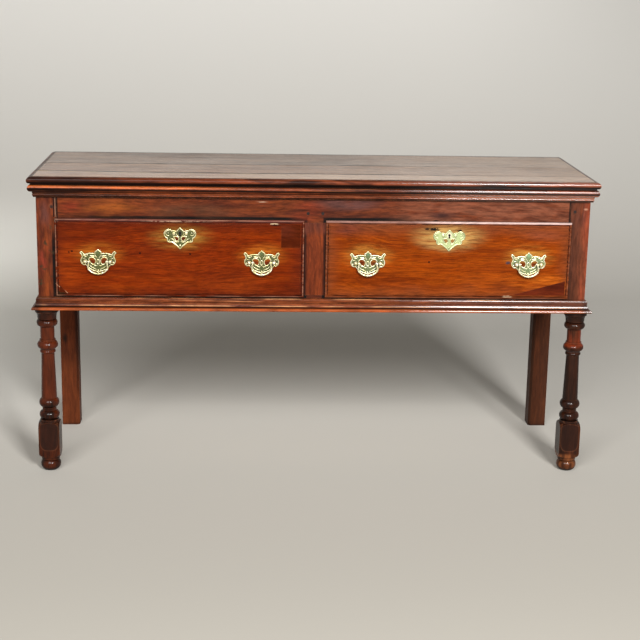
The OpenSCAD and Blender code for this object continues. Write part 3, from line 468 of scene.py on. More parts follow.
def frame_wood(name, along, shift, wood):
    """Frame oak painted darker towards the drawers, with a black line beside their lips: painted shade and
    shadow of the lips.
    """
    f = oak("oak_" + name, along=along, shift=shift, rough=0.44, **wood)
    gap = 1
    # the painted shadow above each lip is weaker towards the ends of the top rail
    if name == "top_rail":
        x = f.x
        gap = f.times(f.ramp(x, -0.64, -0.54, 0.3, 1), f.ramp(x, 0.4, 0.32, 0.3, 1))
    for middle, half in drawer_lips:
        away = f.inside(middle, half)
        # painted shade: the frame is painted darker towards each drawer's lip
        f.paint(f.ramp(away, 0.026, 0.004, 0, 0.45), (54, 25, 17), 22)
        # painted shadow: a black line beside each drawer's lip
        f.paint(f.times(f.ramp(away, 0.0084, 0.0058), gap), (9, 5, 4))
    return f


def on_face(f, y, x, z, wide, tall):
    """1 at a place on an upright face, down to 0 at the edge of an oval round it."""
    return f.near((x, y, z), (wide, 0.1, tall))


def patches(f, y, *rows):
    """Patches of colour, broken up along the grain: each row is an oval, its raggedness and a colour."""
    for oval, raggedness, colour in rows:
        f.paint(on_face(f, y, *oval), colour, *raggedness)


def finish_frame(f, name):
    dress(seal(f, worn=worn_oak, worn_amount=0.4, coat=0.03, gloss=0.08), name)


f = frame_wood("top_rail", "x", 4.4, rail_wood)
f.paint(f.times(f.span("X", 0.3, 0.7, 0.15), 0.75), (114, 66, 46), 60, 0.25, 0.62)
patches(f, frame_y,
        ((-0.52, 0.712, 0.2, 0.045), (26, 0.3, 0.7), (116, 58, 18)),
        ((-0.625, 0.712, 0.04, 0.03), (40,), (108, 38, 18)),
        ((-0.32, 0.706, 0.16, 0.03), (40, 0.25, 0.55), (74, 44, 28)),
        ((-0.02, 0.712, 0.07, 0.04), (26,), (108, 40, 20)),
        ((0.085, 0.73, 0.12, 0.026), (30, 0.2, 0.5), (78, 50, 46)),
        ((0.33, 0.702, 0.06, 0.014), (40,), (50, 26, 22)),
        ((-0.138, 0.733, 0.02, 0.002), (200,), (188, 158, 132)))
f.paint(line(f, f.math("ABSOLUTE", f.x), stile_x - 0.0012, 0.0022), black_wax)
# painted shadow: a darker patch in the shadow line above the right drawer's lip
f.paint(on_face(f, frame_y, 0.312, 0.6885, 0.012, 0.0035), (10, 7, 6))
finish_frame(f, "top_rail")

finish_frame(frame_wood("bottom_rail", "x", 7.4, rail_wood), "bottom_rail")

for side, name, shift, peg in ((-1, "front_post_left", 6.4, (-0.6747, 0.7172)),
                               (1, "front_post_right", 9.4, (0.6698, 0.7095))):
    f = frame_wood(name, "z", shift, post_wood)
    f.paint(f.times(on_face(f, frame_y, *peg, 0.009, 0.009), 0.6), (120, 74, 50))
    f.paint(on_face(f, frame_y, *peg, 0.0055, 0.0055), (16, 10, 8))
    patches(f, frame_y, ((side * 0.69, 0.7, 0.03, 0.05), (30,), (84, 46, 38)))
    if side < 0:
        f.paint(f.span("Z", 0.48, 0.69, 0.03), (112, 50, 20), 26, 0.45, 0.68)
        f.paint(f.spotty(on_face(f, frame_y, -0.697, 0.59, 0.02, 0.06), 34, 0.36, 0.66), (112, 42, 26))
        f.paint(f.spotty(f.span("Z", 0.48, 0.66, 0.03), 46, 0.58, 0.7), (54, 40, 24))
    else:
        f.paint(f.span("Z", 0.44, 0.62, 0.03), (84, 44, 28), 20, 0.3, 0.7)
        f.paint(f.ramp(f.x, 0.7, 0.68, 0, 0.75), (64, 33, 20), 30, 0.15, 0.5)
        f.paint(f.ramp(f.x, 0.69, 0.704, 0, 0.7), (132, 58, 34), 30, 0.35, 0.6)
        f.paint(on_face(f, frame_y, 0.7018, 0.7216, 0.0075, 0.0045), (184, 134, 108))
        f.paint(f.times(f.span("Z", 0.6, 0.78, 0.1), 0.3), (106, 58, 40), 60)
    f.paint(line(f, f.x, side * (stile_x + 0.0004), 0.0022), black_wax)
    if side < 0:
        for at, half, colour in ((-0.6645, 0.0012, (112, 92, 76)), (-0.6685, 0.0022, (18, 10, 8))):
            crack = f.times(line(f, f.x, at, half), f.span("Z", 0.69, 0.74, 0.002))
            f.paint(crack, colour)
    finish_frame(f, name)

f = frame_wood("muntin", "z", 12.4, dict(rail_wood, body=(118, 48, 18), light=(146, 66, 26)))
f.paint(f.times(f.span("X", -0.018, 0.018, 0.01), 0.6), (104, 42, 16))
f.paint(f.span("Z", 0.66, 0.7, 0.02), (80, 38, 26), 16)
finish_frame(f, "muntin")

f = oak("oak_pegs", (20, 11, 9), (40, 20, 14), (64, 32, 20), "y", 8.4)
dress(seal(f), "frame_pegs")

# %% [markdown]
# ## Ends, legs and feet
# The legs were turned from the solid, so their grain stands upright and shows long flames on the
# column. They are the darkest and glossiest wood here: the coat is strong and the colour deep, so
# each bead carries one small bright light. The square block is painted with a black panel in the
# middle of its faces, inside a thin pale line that is a painted highlight on its rounded shoulders.
# %% Legs
leg_woods = {-1: dict(deep=(22, 8, 4), body=(54, 20, 7), light=(100, 41, 14)),
             1: dict(deep=(20, 8, 4), body=(42, 18, 8), light=(84, 39, 17))}
leg_x, leg_y = 0.697, -0.191
block_low, block_high = 0.06, 0.15
panel_z, panel_tall, panel_wide = 0.102, 0.042, 0.0235

for side, name, shift in ((-1, "front_leg_left", 0.7), (1, "front_leg_right", 3.7)):
    f = oak("oak_" + name, along="z", shift=shift, rough=0.34, figure=0.6, fine=0.6, **leg_woods[side])
    tall = f.math("DIVIDE", f.gap(f.z, panel_z), panel_tall)
    for axis, middle in (("X", side * leg_x), ("Y", leg_y)):
        across = f.math("DIVIDE", f.gap(f.xyz[axis], middle), panel_wide)
        oval = f.plus(f.math("POWER", across, 3), f.math("POWER", tall, 4))
        f.paint(f.ramp(oval, 1.1, 0.9, 0, 0.8), (36, 17, 11))
        # painted highlight: a thin pale line round the panel, the light on the block's rounded shoulders
        rim = f.times(line(f, oval, 1.12, 0.2), f.span("Z", block_low, block_high, 0.004))
        f.paint(f.times(rim, 0.16), (130, 80, 54))
    # painted shade: each leg is painted darker just under the waist
    f.paint(f.ramp(f.z, 0.395, 0.425, 0, 0.65), (26, 13, 8))
    # painted reflection: a grey ring below the second bead
    f.paint(f.times(f.span("Z", 0.3335, 0.3385, 0.001), 0.75), (66, 52, 50))
    if side < 0:
        f.paint(f.span("Z", 0.2, 0.39, 0.02), (78, 31, 13), 30, 0.25, 0.65)
    else:
        f.paint(f.times(f.span("Z", 0.2, 0.325, 0.02), 0.6), (26, 14, 9))
        f.paint(f.span("Z", 0.355, 0.392, 0.01), (104, 40, 18), 50, 0.3, 0.6)
        f.paint(f.span("Z", 0, 0.045, 0.01), (104, 58, 30), 50, 0.3, 0.6)
    dress(seal(f, worn=(168, 92, 50), worn_amount=0.45, coat=0.34, coat_rough=0.1, gloss=0.02), name)

rear_wood = dict(deep=(58, 24, 11), body=(90, 41, 18), light=(118, 58, 26))
for side, name, shift in ((-1, "rear_leg_left", 5.7), (1, "rear_leg_right", 8.7)):
    f = oak("oak_" + name, along="z", shift=shift, rough=0.5, figure=0.5, fine=0.6, **rear_wood)
    inner = f.times(f.x, -side)
    f.paint(f.ramp(inner, -0.672, -0.668, 0, 0.7), (34, 17, 11))
    if side < 0:
        f.paint(f.span("Z", 0, 0.16, 0.06), (94, 45, 21), 20, 0.2, 0.7)
        f.paint(f.near((-0.7, 0.2, 0.262), (0.012, 0.1, 0.022)), (26, 16, 10))
    else:
        f.paint(f.span("Z", 0, 0.5, 0.05), f.mix(0.45, f.colour, (58, 38, 26)))
    dress(seal(f, worn=worn_oak, worn_amount=0.3, coat=0.02, gloss=0.08), name)

f = oak("oak_ends", (54, 22, 13), (88, 38, 21), (122, 60, 32), "y", 9.4, 0.44)
dress(seal(f, worn=worn_oak, worn_amount=0.3, coat=0.1, gloss=0.25), "side_board_left", "side_board_right")

# %% [markdown]
# ## Drawer fronts
# The fronts are the show wood: fine, straight-grained and orange under red wax. A front is painted
# darker towards its lip and its top, as painted shade. Round each brass the wax has worn to a
# golden patch where fingers pull and rub, and the wood seen through each piercing is painted dark as
# its shadow. All of these are ovals or bands laid over the grain, at the places where the
# photograph shows them, and broken up by a noise so that none has a hard edge.
# %% Drawer fronts
front_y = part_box("drawer_front_left")[0].y
handle_z, keyhole_z = 0.577, 0.6485
lock_x, handle_off = 0.3475, 0.21
left_oak = dict(deep=(84, 24, 3), body=(101, 31, 2), light=(122, 45, 4))
right_oak = dict(deep=(98, 35, 3), body=(120, 47, 3), light=(146, 66, 7))


def on_front(f, x, z, wide, tall):
    return on_face(f, front_y, x, z, wide, tall)


def marks(f, *rows):
    """Small stains: each is an oval whose edge is torn along the grain."""
    for *oval, colour in rows:
        oval = on_front(f, *oval)
        torn = f.times(f.minus(f.noise(f.smear, 300, 3), 0.5), 2.2)
        stain = f.ramp(f.plus(oval, torn), 0.1, 0.45)
        stain = f.times(stain, f.ramp(oval, 0, 0.12))
        f.paint(f.spotty(stain, 190, 0.26, 0.4), colour)


def drawer_front(side, name, shift, wood, shadow, halo, gold):
    f = oak("oak_" + name, shift=shift, rough=0.4, figure=0.55, fine=0.95, close=1.8, **wood)
    rubbed = f.ramp(f.streaks(f.place, 14, 90, 4, 0.7), 0.36, 0.62, 0.15, 1)
    middle, half = drawer_lips[0 if side < 0 else 1]
    x = middle[0]
    away = f.inside(middle, half)
    away = f.plus(away, f.times(f.minus(f.noise(f.place, 14, 3), 0.5), 0.05))
    # painted shade: the front is painted darker towards its lip and towards its top
    f.paint(f.ramp(away, -0.05, 0.004, 0, 0.72), shadow)
    f.paint(f.ramp(f.z, 0.64, 0.684, 0, 0.75), shadow, 12, 0.28, 0.55)
    for at in (x - handle_off, x + handle_off):
        f.paint(f.times(on_front(f, at, handle_z + 0.018, 0.085, 0.042), rubbed), halo)
        # painted shadow: the wood seen through each piercing of the back plate is painted dark
        for spot in (-0.0155, 0.0155):
            hole = on_front(f, at + spot, handle_z - 0.001, 0.014, 0.012)
            f.paint(f.times(hole, 0.8), (76, 24, 12))
    f.paint(f.times(on_front(f, x, keyhole_z - 0.008, 0.105, 0.046), rubbed), gold)
    # painted shade: the wood round the keyhole is painted black, as the dark of the open hole
    f.paint(f.ramp(on_front(f, x, keyhole_z - 0.0005, 0.0065, 0.0105), 0.1, 0.3), (8, 5, 4))
    # painted shadow: the wood seen through the escutcheon's piercings is painted dark
    for spot in (-0.0095, 0.0095):
        hole = on_front(f, x + spot, keyhole_z - 0.0125, 0.01, 0.01)
        f.paint(f.times(hole, 0.9), (76, 24, 14))
    return f


left_front = f = drawer_front(-1, "drawer_front_left", 12.3, left_oak,
                              (72, 22, 8), (164, 92, 26), (146, 108, 45))
patches(f, front_y,
        ((-0.44, 0.52, 0.24, 0.05), (24, 0.35, 0.75), (118, 45, 6)),
        ((-0.635, 0.56, 0.05, 0.1), (40, 0.25, 0.65), (124, 46, 6)),
        ((-0.2, 0.516, 0.12, 0.04), (24, 0.35, 0.75), (118, 44, 6)))
marks(f, *((x, z, 0.004, 0.004, (22, 9, 6)) for x, z in
           ((-0.6314, 0.5993), (-0.4503, 0.5982), (-0.3221, 0.5967), (-0.624, 0.602))))
pale_chip = f.ramp(on_front(f, -0.106, 0.6768, 0.018, 0.003), 0.1, 0.5)
f.paint(f.spotty(pale_chip, 260, 0.36, 0.52), (176, 154, 122))
marks(f, (-0.098, 0.6738, 0.021, 0.0026, (14, 8, 6)))
# painted highlight: a pale line along the top of the lip
f.paint(f.spotty(on_front(f, -0.355, 0.6815, 0.12, 0.0036), 90, 0.34, 0.5), (196, 158, 130))
marks(f, (-0.66, 0.49, 0.026, 0.014, (46, 28, 12)))
# painted highlight: a pale spot at the left end of the lip's top
f.paint(f.spotty(on_front(f, -0.664, 0.6815, 0.01, 0.007), 200, 0.3, 0.5), (150, 132, 116))
slope = f.plus(f.times(f.x, 0.623), f.times(f.z, 0.782))
glue = f.times(line(f, slope, -0.0126, 0.0013), f.span("X", -0.667, -0.638, 0.002))
f.paint(glue, (172, 128, 96), 90, 0.25, 0.5)

right_front = f = drawer_front(1, "drawer_front_right", 15.6, right_oak,
                               (100, 50, 26), (166, 114, 46), (172, 142, 86))
patches(f, front_y,
        ((0.075, 0.668, 0.07, 0.03), (18,), (84, 40, 30)),
        ((0.6, 0.655, 0.11, 0.035), (30, 0.3, 0.7), (112, 54, 30)),
        ((0.345, 0.648, 0.125, 0.042), (60, 0.2, 0.65), (180, 142, 80)),
        ((0.46, 0.525, 0.18, 0.035), (24, 0.35, 0.75), (150, 68, 12)),
        ((0.59, 0.53, 0.12, 0.03), (60, 0.3, 0.7), (168, 84, 20)))
marks(f, (0.3085, 0.6665, 0.017, 0.007, (24, 18, 18)), (0.289, 0.6675, 0.01, 0.0035, (40, 26, 20)),
      (0.375, 0.664, 0.01, 0.0036, (30, 20, 16)), (0.5045, 0.58, 0.011, 0.005, (66, 48, 52)),
      (0.297, 0.5806, 0.004, 0.003, (28, 12, 8)), (0.506, 0.4892, 0.02, 0.003, (214, 176, 142)))
# painted highlight: a pale line along the top of the right drawer's lip
lip_highlight = f.times(f.ramp(f.z, 0.6812, 0.6825), f.ramp(f.x, 0.24, 0.33, 0.25, 0.95))
f.paint(lip_highlight, (186, 160, 152), 130, 0.12, 0.42)

for f, name, lips, arris_highlight in ((left_front, "drawer_front_left", drawer_lips[0], 1),
                                    (right_front, "drawer_front_right", drawer_lips[1], 0.45)):
    away = f.inside(*lips)
    before_lines = f.colour
    f.paint(f.ramp(away, -0.0085, -0.005, 0, 0.6), (54, 20, 10), 90, 0.35, 0.65)
    f.paint(line(f, away, -0.007, 0.0016), (26, 10, 7), 110, 0.3, 0.55)
    # painted highlight: a pale line along the lip's rounded arris, fainter on the right drawer
    arris = f.times(line(f, away, -0.0026, 0.0016), arris_highlight)
    f.paint(arris, (128, 90, 72), 60, 0.3, 0.62)
    if f is left_front:
        # painted reflection: the sloped top of the left drawer's lip is painted mauve grey
        mauve_reflection = f.times(f.ramp(f.z, 0.68, 0.6825), 0.6)
        f.paint(mauve_reflection, (88, 50, 44), 26, 0.25, 0.6)
    else:
        f.colour = f.mix(f.ramp(f.z, 0.681, 0.682), f.colour, before_lines)
    dress(seal(f, worn=(170, 100, 56), worn_amount=0.3, gloss=0.035), name)

# %% [markdown]
# ## Old repairs
# Three repairs were let into the fronts: a rectangle and a small corner on the left drawer, and a
# long wedge on the right one. Each was cut from plainer, redder wood, so its grain is weak, and the
# glue line round it has darkened.
# %% Repairs
f = oak("oak_patches", (54, 15, 4), (66, 21, 5), (82, 31, 8), "x", 3.6, 0.4, 0.5, 0.6)
f.paint(on_front(f, -0.085, 0.655, 0.05, 0.03), (84, 34, 20), 20)
dress(seal(f, gloss=0.02), "patches_left")
f = oak("oak_wedge", (58, 16, 5), (78, 24, 7), (100, 38, 12), "x", 5.6, 0.4, 0.6, 0.7)
dress(seal(f, gloss=0.06), "patch_right")

# %% [markdown]
# ## Unseen oak and iron
# Inside, the oak was never waxed: it is pale, dry and a little grey, with open pores. The locks are
# iron that has been filed and has rusted brown in spots.
# %% Dry oak
plain = dict(deep=(104, 76, 50), body=(142, 108, 74), light=(170, 136, 98))
dry = named("back_board", "runner", "kicker", "drawer_side", "drawer_back", "drawer_bottom")
f = oak("oak_plain", rough=0.7, **plain)
f.paint(0.35, (120, 104, 86), 6, 0.4, 0.7)
dress(seal(f, dirt_and_shade=(60, 44, 30), gloss=0.15), *dry)


# %% Iron
def iron(name):
    f = Finish(name)
    rust = f.ramp(f.noise(f.place, 90, 5, 0.65), 0.45, 0.7)
    f.put("Base Color", f.mix(rust, (70, 68, 66), (92, 56, 36)))
    f.put("Metallic", 0.7)
    f.put("Roughness", f.ramp(rust, 0, 1, 0.45, 0.8))
    f.put("Normal", f.bump(0.4, 0.0004, f.noise(f.place, 300, 4)))
    return f.material


dress(iron("iron_old"), *named("lock_"))


# %% [markdown]
# ## Brass
# The brasses are thin castings. Centuries of rubbing keep their rims, bosses and bails pale, and
# the sunk ground between them has turned green. The finish knows the ground by its depth: it lies a
# little behind the plate's face, so a place's Y value tells pale metal from green.
# %% Brass finish
plate_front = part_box("back_plate_left_a")[0].y
sunk = 0.0007
handle_spots = {"left_a": -0.5575, "left_b": -0.1375, "right_a": 0.1375, "right_b": 0.5575}


def brass(name, face, greens, stain_share=0.5):
    """Greens are the colours of the ground, the corners' dirt and painted shade, the finial's lozenge and the
    keyhole's.
    """
    ground, corner_dirt_and_shade, finial, diamond = greens
    f = Finish(name)
    air = f.open_air(0.0032)
    stain = f.noise(f.place, 330, 4, 0.6)
    deep = f.ramp(f.y, plate_front + 0.0003, plate_front + sunk - 0.00004)
    deep = f.times(deep, f.ramp(stain, 0.34, 0.48, 0.8, 1))
    # dirt and painted shade: corners that see little air are darkened
    corners = f.ramp(air, 0.93, 0.62, 0, 0.92)
    grime_and_shade = f.most(deep, corners)
    spots = f.ramp(stain, 0.54, 0.72 if stain_share < 1 else 0.6, 0, stain_share)
    f.colour = f.mix(f.ramp(f.noise(f.place, 120, 2), 0.35, 0.65), *face)
    f.paint(spots, (132, 128, 72))
    f.paint(deep, ground)
    for x in handle_spots.values():
        lozenge = f.near((x, plate_front, handle_z + 0.0235), (0.0085, 0.1, 0.0085))
        f.paint(f.times(lozenge, deep, 0.9), finial)
    for x in (-lock_x, lock_x):
        lozenge = f.near((x, plate_front, keyhole_z + 0.003), (0.0095, 0.1, 0.0135))
        f.paint(f.times(lozenge, deep, 0.9), diamond)
    f.paint(corners, corner_dirt_and_shade)
    f.put("Base Color", f.colour)
    f.put("Metallic", f.ramp(grime_and_shade, 0, 1, 0.65, 0.1))
    f.put("Specular IOR Level", 0.25)
    f.put("Roughness", f.ramp(grime_and_shade, 0, 1, 0.34, 0.62))
    f.put("Normal", f.bump(0.3, 0.0003, f.noise(f.place, 420, 3), Normal=f.softened(0.0004)))
    return f.material


fresh = (242, 238, 212), (216, 206, 152)
worn = (226, 218, 180), (194, 182, 124)
sage = (206, 206, 164), (178, 186, 136)
old_brass = brass("brass_old", worn, ((66, 70, 30), (22, 24, 12), (76, 86, 50), (44, 46, 36)))
mid_brass = brass("brass_mid", fresh, ((82, 92, 52), (34, 36, 20), (90, 116, 84), (44, 46, 36)))
pale_brass = brass("brass_pale", fresh, ((100, 114, 74), (44, 46, 28), (116, 154, 118), (44, 46, 36)))
soft_brass = brass("brass_soft", sage, ((158, 170, 118), (84, 86, 58), (158, 170, 118), (220, 206, 188)), 0.6)
bail_brass = brass("brass_bail", fresh, ((80, 84, 40), (30, 30, 16), (80, 84, 40), (80, 84, 40)), 1)
dress(old_brass, *named("escutcheon", "plate_pins", "back_plate", "handle_posts", "post_nuts", "bail"))


# %% [markdown]
# ## Tools for thin castings
# Three tools make the castings. A flat curve, filled and given a thickness, makes a sheet with
# piercings, and keeps its outline smooth. A curve with a round section makes the raised rims and
# scrolls. A boss is a flat oval that is pulled forward in steps which get smaller.
# %% Tools for thin castings
def extent(piece):
    """The lowest and highest x, y and z of a piece's vertices."""
    places = [v.co for v in piece.data.vertices]
    return [[round(pick(p[i] for p in places), 4) for i in range(3)] for pick in (min, max)]


def set_mode(mode):
    bpy.ops.object.mode_set(mode=mode)


def pick_only(piece):
    if bpy.context.object and bpy.context.object.mode != "OBJECT":
        set_mode("OBJECT")
    bpy.ops.object.select_all(action="DESELECT")
    piece.select_set(True)
    bpy.context.view_layer.objects.active = piece


def both_sides(half):
    """A whole outline from its right half, which runs from the top to the bottom of the middle line."""
    return half + [(-x, z) for x, z in reversed(half) if abs(x) > 1e-6]


def mirrored(loops):
    """Each loop on the left, then on the right of the middle line."""
    return [[(side * x, z) for x, z in loop] for loop in loops for side in (-1, 1)]


def drawn_in(points, by):
    """A closed clockwise outline moved inwards, each corner along the middle of its two sides."""
    moved = []
    for i, point in enumerate(points):
        before, here, after = (Vector(p) for p in (points[i - 1], point, points[(i + 1) % len(points)]))
        a, b = (here - before).normalized(), (after - here).normalized()
        moved.append(here + Vector((a.y + b.y, -a.x - b.x)).normalized() * by)
    return [(p.x, p.y) for p in moved]


def draw(name, loops, centre, closed=True, flat=0, wire=0, ends=1, sharp=(), press=1):
    """Curves drawn on the drawer's front, in mm about a centre, then made a mesh in their place."""
    curve = bpy.data.curves.new(name, "CURVE")
    curve.dimensions = "2D" if flat else "3D"
    curve.fill_mode = "BOTH" if flat else "FULL"
    curve.resolution_u, curve.bevel_resolution = 5, 2
    curve.extrude, curve.bevel_depth = flat / 2, wire
    curve.use_fill_caps = bool(wire)
    for loop in loops:
        line = curve.splines.new("BEZIER")
        line.bezier_points.add(len(loop) - 1)
        line.use_cyclic_u = closed
        for i, (point, (x, z)) in enumerate(zip(line.bezier_points, loop)):
            point.co = (x / 1000, z / 1000, 0)
            kind = "VECTOR" if any(abs(abs(x) - a) < 0.9 and abs(z - b) < 0.9 for a, b in sharp) else "AUTO"
            point.handle_left_type = point.handle_right_type = kind
            point.radius = ends if not closed and i in (0, len(loop) - 1) else 1
    piece = add(name, curve)
    piece.location = centre
    piece.rotation_euler = (math.radians(90), 0, 0)
    piece.scale = (1, 1, press)
    pick_only(piece)
    bpy.ops.object.convert(target="MESH")
    bpy.ops.object.transform_apply()
    return bpy.context.object


def boss(x, z, wide, tall, rise, base_y, lean=0, sides=20):
    """A low cushion: a flat oval, pulled forward in steps that get smaller, as a cast boss is."""
    bpy.ops.object.select_all(action="DESELECT")
    bpy.ops.mesh.primitive_circle_add(vertices=sides, radius=1, fill_type="NGON",
                                      location=(x, base_y, z), rotation=(math.radians(90), lean, 0))
    piece = bpy.context.object
    piece.scale = (wide, tall, 1)
    bpy.ops.object.transform_apply()
    set_mode("EDIT")
    bpy.ops.mesh.select_all(action="SELECT")
    bpy.ops.mesh.extrude_region_move(TRANSFORM_OT_translate={"value": (0, -rise * 0.45, 0)})
    for share, step in ((0.86, 0.25), (0.7, 0.2), (0.5, 0.1)):
        bpy.ops.mesh.extrude_region_move(TRANSFORM_OT_translate={"value": (0, -rise * step, 0)})
        bpy.ops.transform.resize(value=(share, 1, share), center_override=(x, base_y, z))
    set_mode("OBJECT")
    return piece


def join(pieces, name):
    """Joins castings to the first one, welds what meets, and turns every face outwards."""
    pick_only(pieces[0])
    for other in pieces[1:]:
        other.select_set(True)
    bpy.ops.object.join()
    piece = bpy.context.object
    piece.name = name
    set_mode("EDIT")
    bpy.ops.mesh.select_all(action="SELECT")
    bpy.ops.mesh.remove_doubles(threshold=0.00001)
    bpy.ops.mesh.normals_make_consistent(inside=False)
    set_mode("OBJECT")
    bpy.ops.object.shade_smooth_by_angle(angle=math.radians(40))
    print(name, len(piece.data.polygons), "faces", extent(piece))
    return piece


def put_on(piece, metal, side, node):
    piece.data.materials.clear()
    piece.data.materials.append(metal)
    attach(piece, "drawer_" + side)
    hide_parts(node)


# %% [markdown]
# ## Back plates
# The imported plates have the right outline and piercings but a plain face. Each is replaced by a
# casting on the same outline: a sunk ground, a raised rim round the plate and round each piercing,
# two leaves beside the finial, a pointed oval between the piercings, and scrolls under them and on
# the wings. One plate is modelled, and the others are copies of it, moved in their mesh.
# %% Back plates
plate_half = [(0, 31), (4.5, 27), (9.5, 22.8), (7.6, 19.6), (28.5, 19.8), (33, 17.2), (36.5, 20),
              (39.5, 24), (43.5, 25.4), (47, 21.5), (44.6, 18.4), (42.6, 14.5), (41.2, 10), (44, 5.5),
              (45, 0.5), (43.6, -5), (40, -9.6), (36, -11.5), (32.5, -10), (28.5, -15), (21.5, -21.5),
              (12, -26.5), (4, -29), (0, -31.5)]
plate_corners = [plate_half[i] for i in (0, 2, 3, 8, 9, 12, 18, 23)]
plate_piercing = [(9.5, 5.5), (22.5, 5.5), (19.5, -2), (14.5, -8), (10.5, -8)]
front_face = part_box("back_plate_left_a")[1].y
rim_wire, rim_press = 0.0013, 0.48


def casting(name, half, corners, piercing, cx, cz, scrolls, bosses, keyhole=None, rings=[]):
    """A pierced casting: ground, rims, scrolls and bosses, all about one centre."""
    outline = both_sides(half)
    holes = mirrored([piercing])
    key = [both_sides(keyhole)] if keyhole else []
    ground_y = plate_front + sunk
    middle = (cx, (front_face + ground_y) / 2, cz)
    parts = [draw("ground", [outline] + holes + key, middle, flat=front_face - ground_y, sharp=corners)]
    edge = drawn_in(outline, 1.25)
    # the left hole runs anticlockwise, so each rim comes to lie just outside its hole
    hole_edges = [drawn_in(hole, -side) for side, hole in zip((-1, 1), holes)]
    edge_corners = [(abs(x), z) for (x, z), (a, b) in zip(edge, outline) if (abs(a), b) in corners]
    wire_y = plate_front + rim_wire * rim_press
    on_ground = (cx, wire_y, cz)
    parts.append(draw("rim", [edge], on_ground, wire=rim_wire, sharp=edge_corners, press=rim_press))
    parts.append(draw("hole_rims", hole_edges + rings, on_ground, wire=rim_wire * 0.9, press=rim_press))
    parts.append(draw("scrolls", mirrored(scrolls), (cx, wire_y + 0.0001, cz), closed=False,
                      wire=rim_wire * 0.8, ends=0.35, press=rim_press))
    for x, z, wide, tall, lean in bosses:
        for side in ((-1, 1) if x else (1,)):
            parts.append(boss(cx + side * x / 1000, cz + z / 1000, wide / 1000, tall / 1000, 0.0012,
                              ground_y + 0.0001, side * math.radians(lean)))
    return join(parts, name)


first = "left_a"
plate_scrolls = [[(17.5, -4.5), (11, -10.2), (5, -12.8), (0.6, -9.8)],
                 [(9, 19), (7, 13.5), (3.6, 9.5), (2.4, 4.5)],
                 [(39.5, 20.5), (37, 15), (31.5, 11.5), (26, 12.5)],
                 [(24, -9.5), (17.5, -15.5), (10, -19.5), (3, -21)],
                 [(40.5, 4.5), (36.5, 6.5), (30, 7)]]
plate_bosses = [(15, 12.6, 6.2, 2.3, -8), (27.5, 15.4, 2.6, 1.4, -12), (38.6, -4.6, 2.4, 2.4, 0),
                (0, -25.5, 2.4, 2.6, 0), (6.5, -24, 2.4, 1.2, 20)]
pointed_oval = [(0, 4), (3, -2.2), (0, -8.2), (-3, -2.2)]
plate = casting("back_plate_" + first + "_cast", plate_half, plate_corners, plate_piercing,
                handle_spots[first], handle_z, plate_scrolls, plate_bosses, rings=[pointed_oval])
metals = {"left_a": old_brass, "left_b": old_brass, "right_a": mid_brass, "right_b": pale_brass}
for tag, x in handle_spots.items():
    piece = plate
    if tag != first:
        piece = add("back_plate_" + tag + "_cast", plate.data.copy())
        piece.data.transform(Matrix.Translation((x - handle_spots[first], 0, 0)))
    put_on(piece, metals[tag], tag.split("_")[0], "back_plate_" + tag)

# %% [markdown]
# ## Escutcheons
# The two keyhole plates are made the same way, with the keyhole as one more piercing inside its own
# diamond. The left one still has its dark ground. The right one has been cleaned so often that its
# ground is nearly as pale as its rim.
# %% Escutcheons
escutcheon_half = [(0, 17.8), (5.5, 12.5), (10.4, 7.2), (13.5, 9.2), (17.5, 10), (20.5, 9.2), (24.5, 12.6),
                   (30.5, 13.6), (37, 10.2), (41, 4.5), (41.5, -1), (39, -6.8), (33, -11.8), (33.5, -16),
                   (31.5, -20.4), (27, -21.6), (21, -21.8), (14.5, -26.5), (7.5, -32), (0, -39.5)]
escutcheon_corners = [escutcheon_half[i] for i in (0, 2, 5, 12, 19)]
escutcheon_piercing = [(4.8, -8.8), (14.6, -8.8), (12.2, -13.2), (8.2, -17.2), (5.2, -15.6)]
keyhole_half = [(0, 6.5), (2.4, 5.3), (3.1, 3.1), (2.3, 1.2), (1.9, -0.8), (2, -5.4), (0, -6)]
escutcheon_scrolls = [[(9.6, 6), (9.6, 0.5), (6, -4.5), (0.4, -7.2)],
                      [(24.5, 8.5), (30.5, 9.5), (36, 5.5), (36, 0), (30.5, -4), (25, -1.5)],
                      [(27, -9.5), (18.5, -13.5), (11.5, -20), (5.5, -20.5), (0.8, -17.5)],
                      [(25, -17.5), (17, -21), (9, -27.5), (2, -33)]]
escutcheon_bosses = [(16, 1.5, 3.4, 4.6, 8), (15.5, -6.6, 2.6, 1.5, -20), (30, 3, 1.6, 1.4, 0),
                     (27.5, -15.8, 2, 1.4, 0), (0, -29, 2.4, 2.2, 0)]
for side, tag, metal in ((-1, "left", old_brass), (1, "right", soft_brass)):
    piece = casting("escutcheon_" + tag + "_cast", escutcheon_half, escutcheon_corners, escutcheon_piercing,
                    side * lock_x, keyhole_z, escutcheon_scrolls, escutcheon_bosses, keyhole_half)
    put_on(piece, metal, tag, "escutcheon_" + tag)
dress(pale_brass, "plate_pins_right")
dress(bail_brass, *named("bail", "handle_posts"))

# %% [markdown]
# ## The studio
# A floor that sweeps up into a backdrop has no corner to distract. It starts as a plane, whose back
# edge is spun through a quarter turn and then pulled up. It is no part of the object. Its grey is
# palest high at the back and darker low at the front. Seen from behind, the sweep is clear, so that
# a view from the back still shows the dresser.
# %% Floor and backdrop
floor_half, front_end, back_y, bend_r, wall_top = 7, -7, 3.4, 1.6, 5
bpy.ops.object.select_all(action="DESELECT")
bpy.ops.mesh.primitive_plane_add(size=2, location=(0, 0, 0))
sweep = bpy.context.object
sweep.name = "studio_sweep"
sweep.scale = (floor_half, 1, 1)
bpy.ops.object.transform_apply()
for v in sweep.data.vertices:
    v.co.y = back_y - bend_r if v.co.y > 0 else front_end


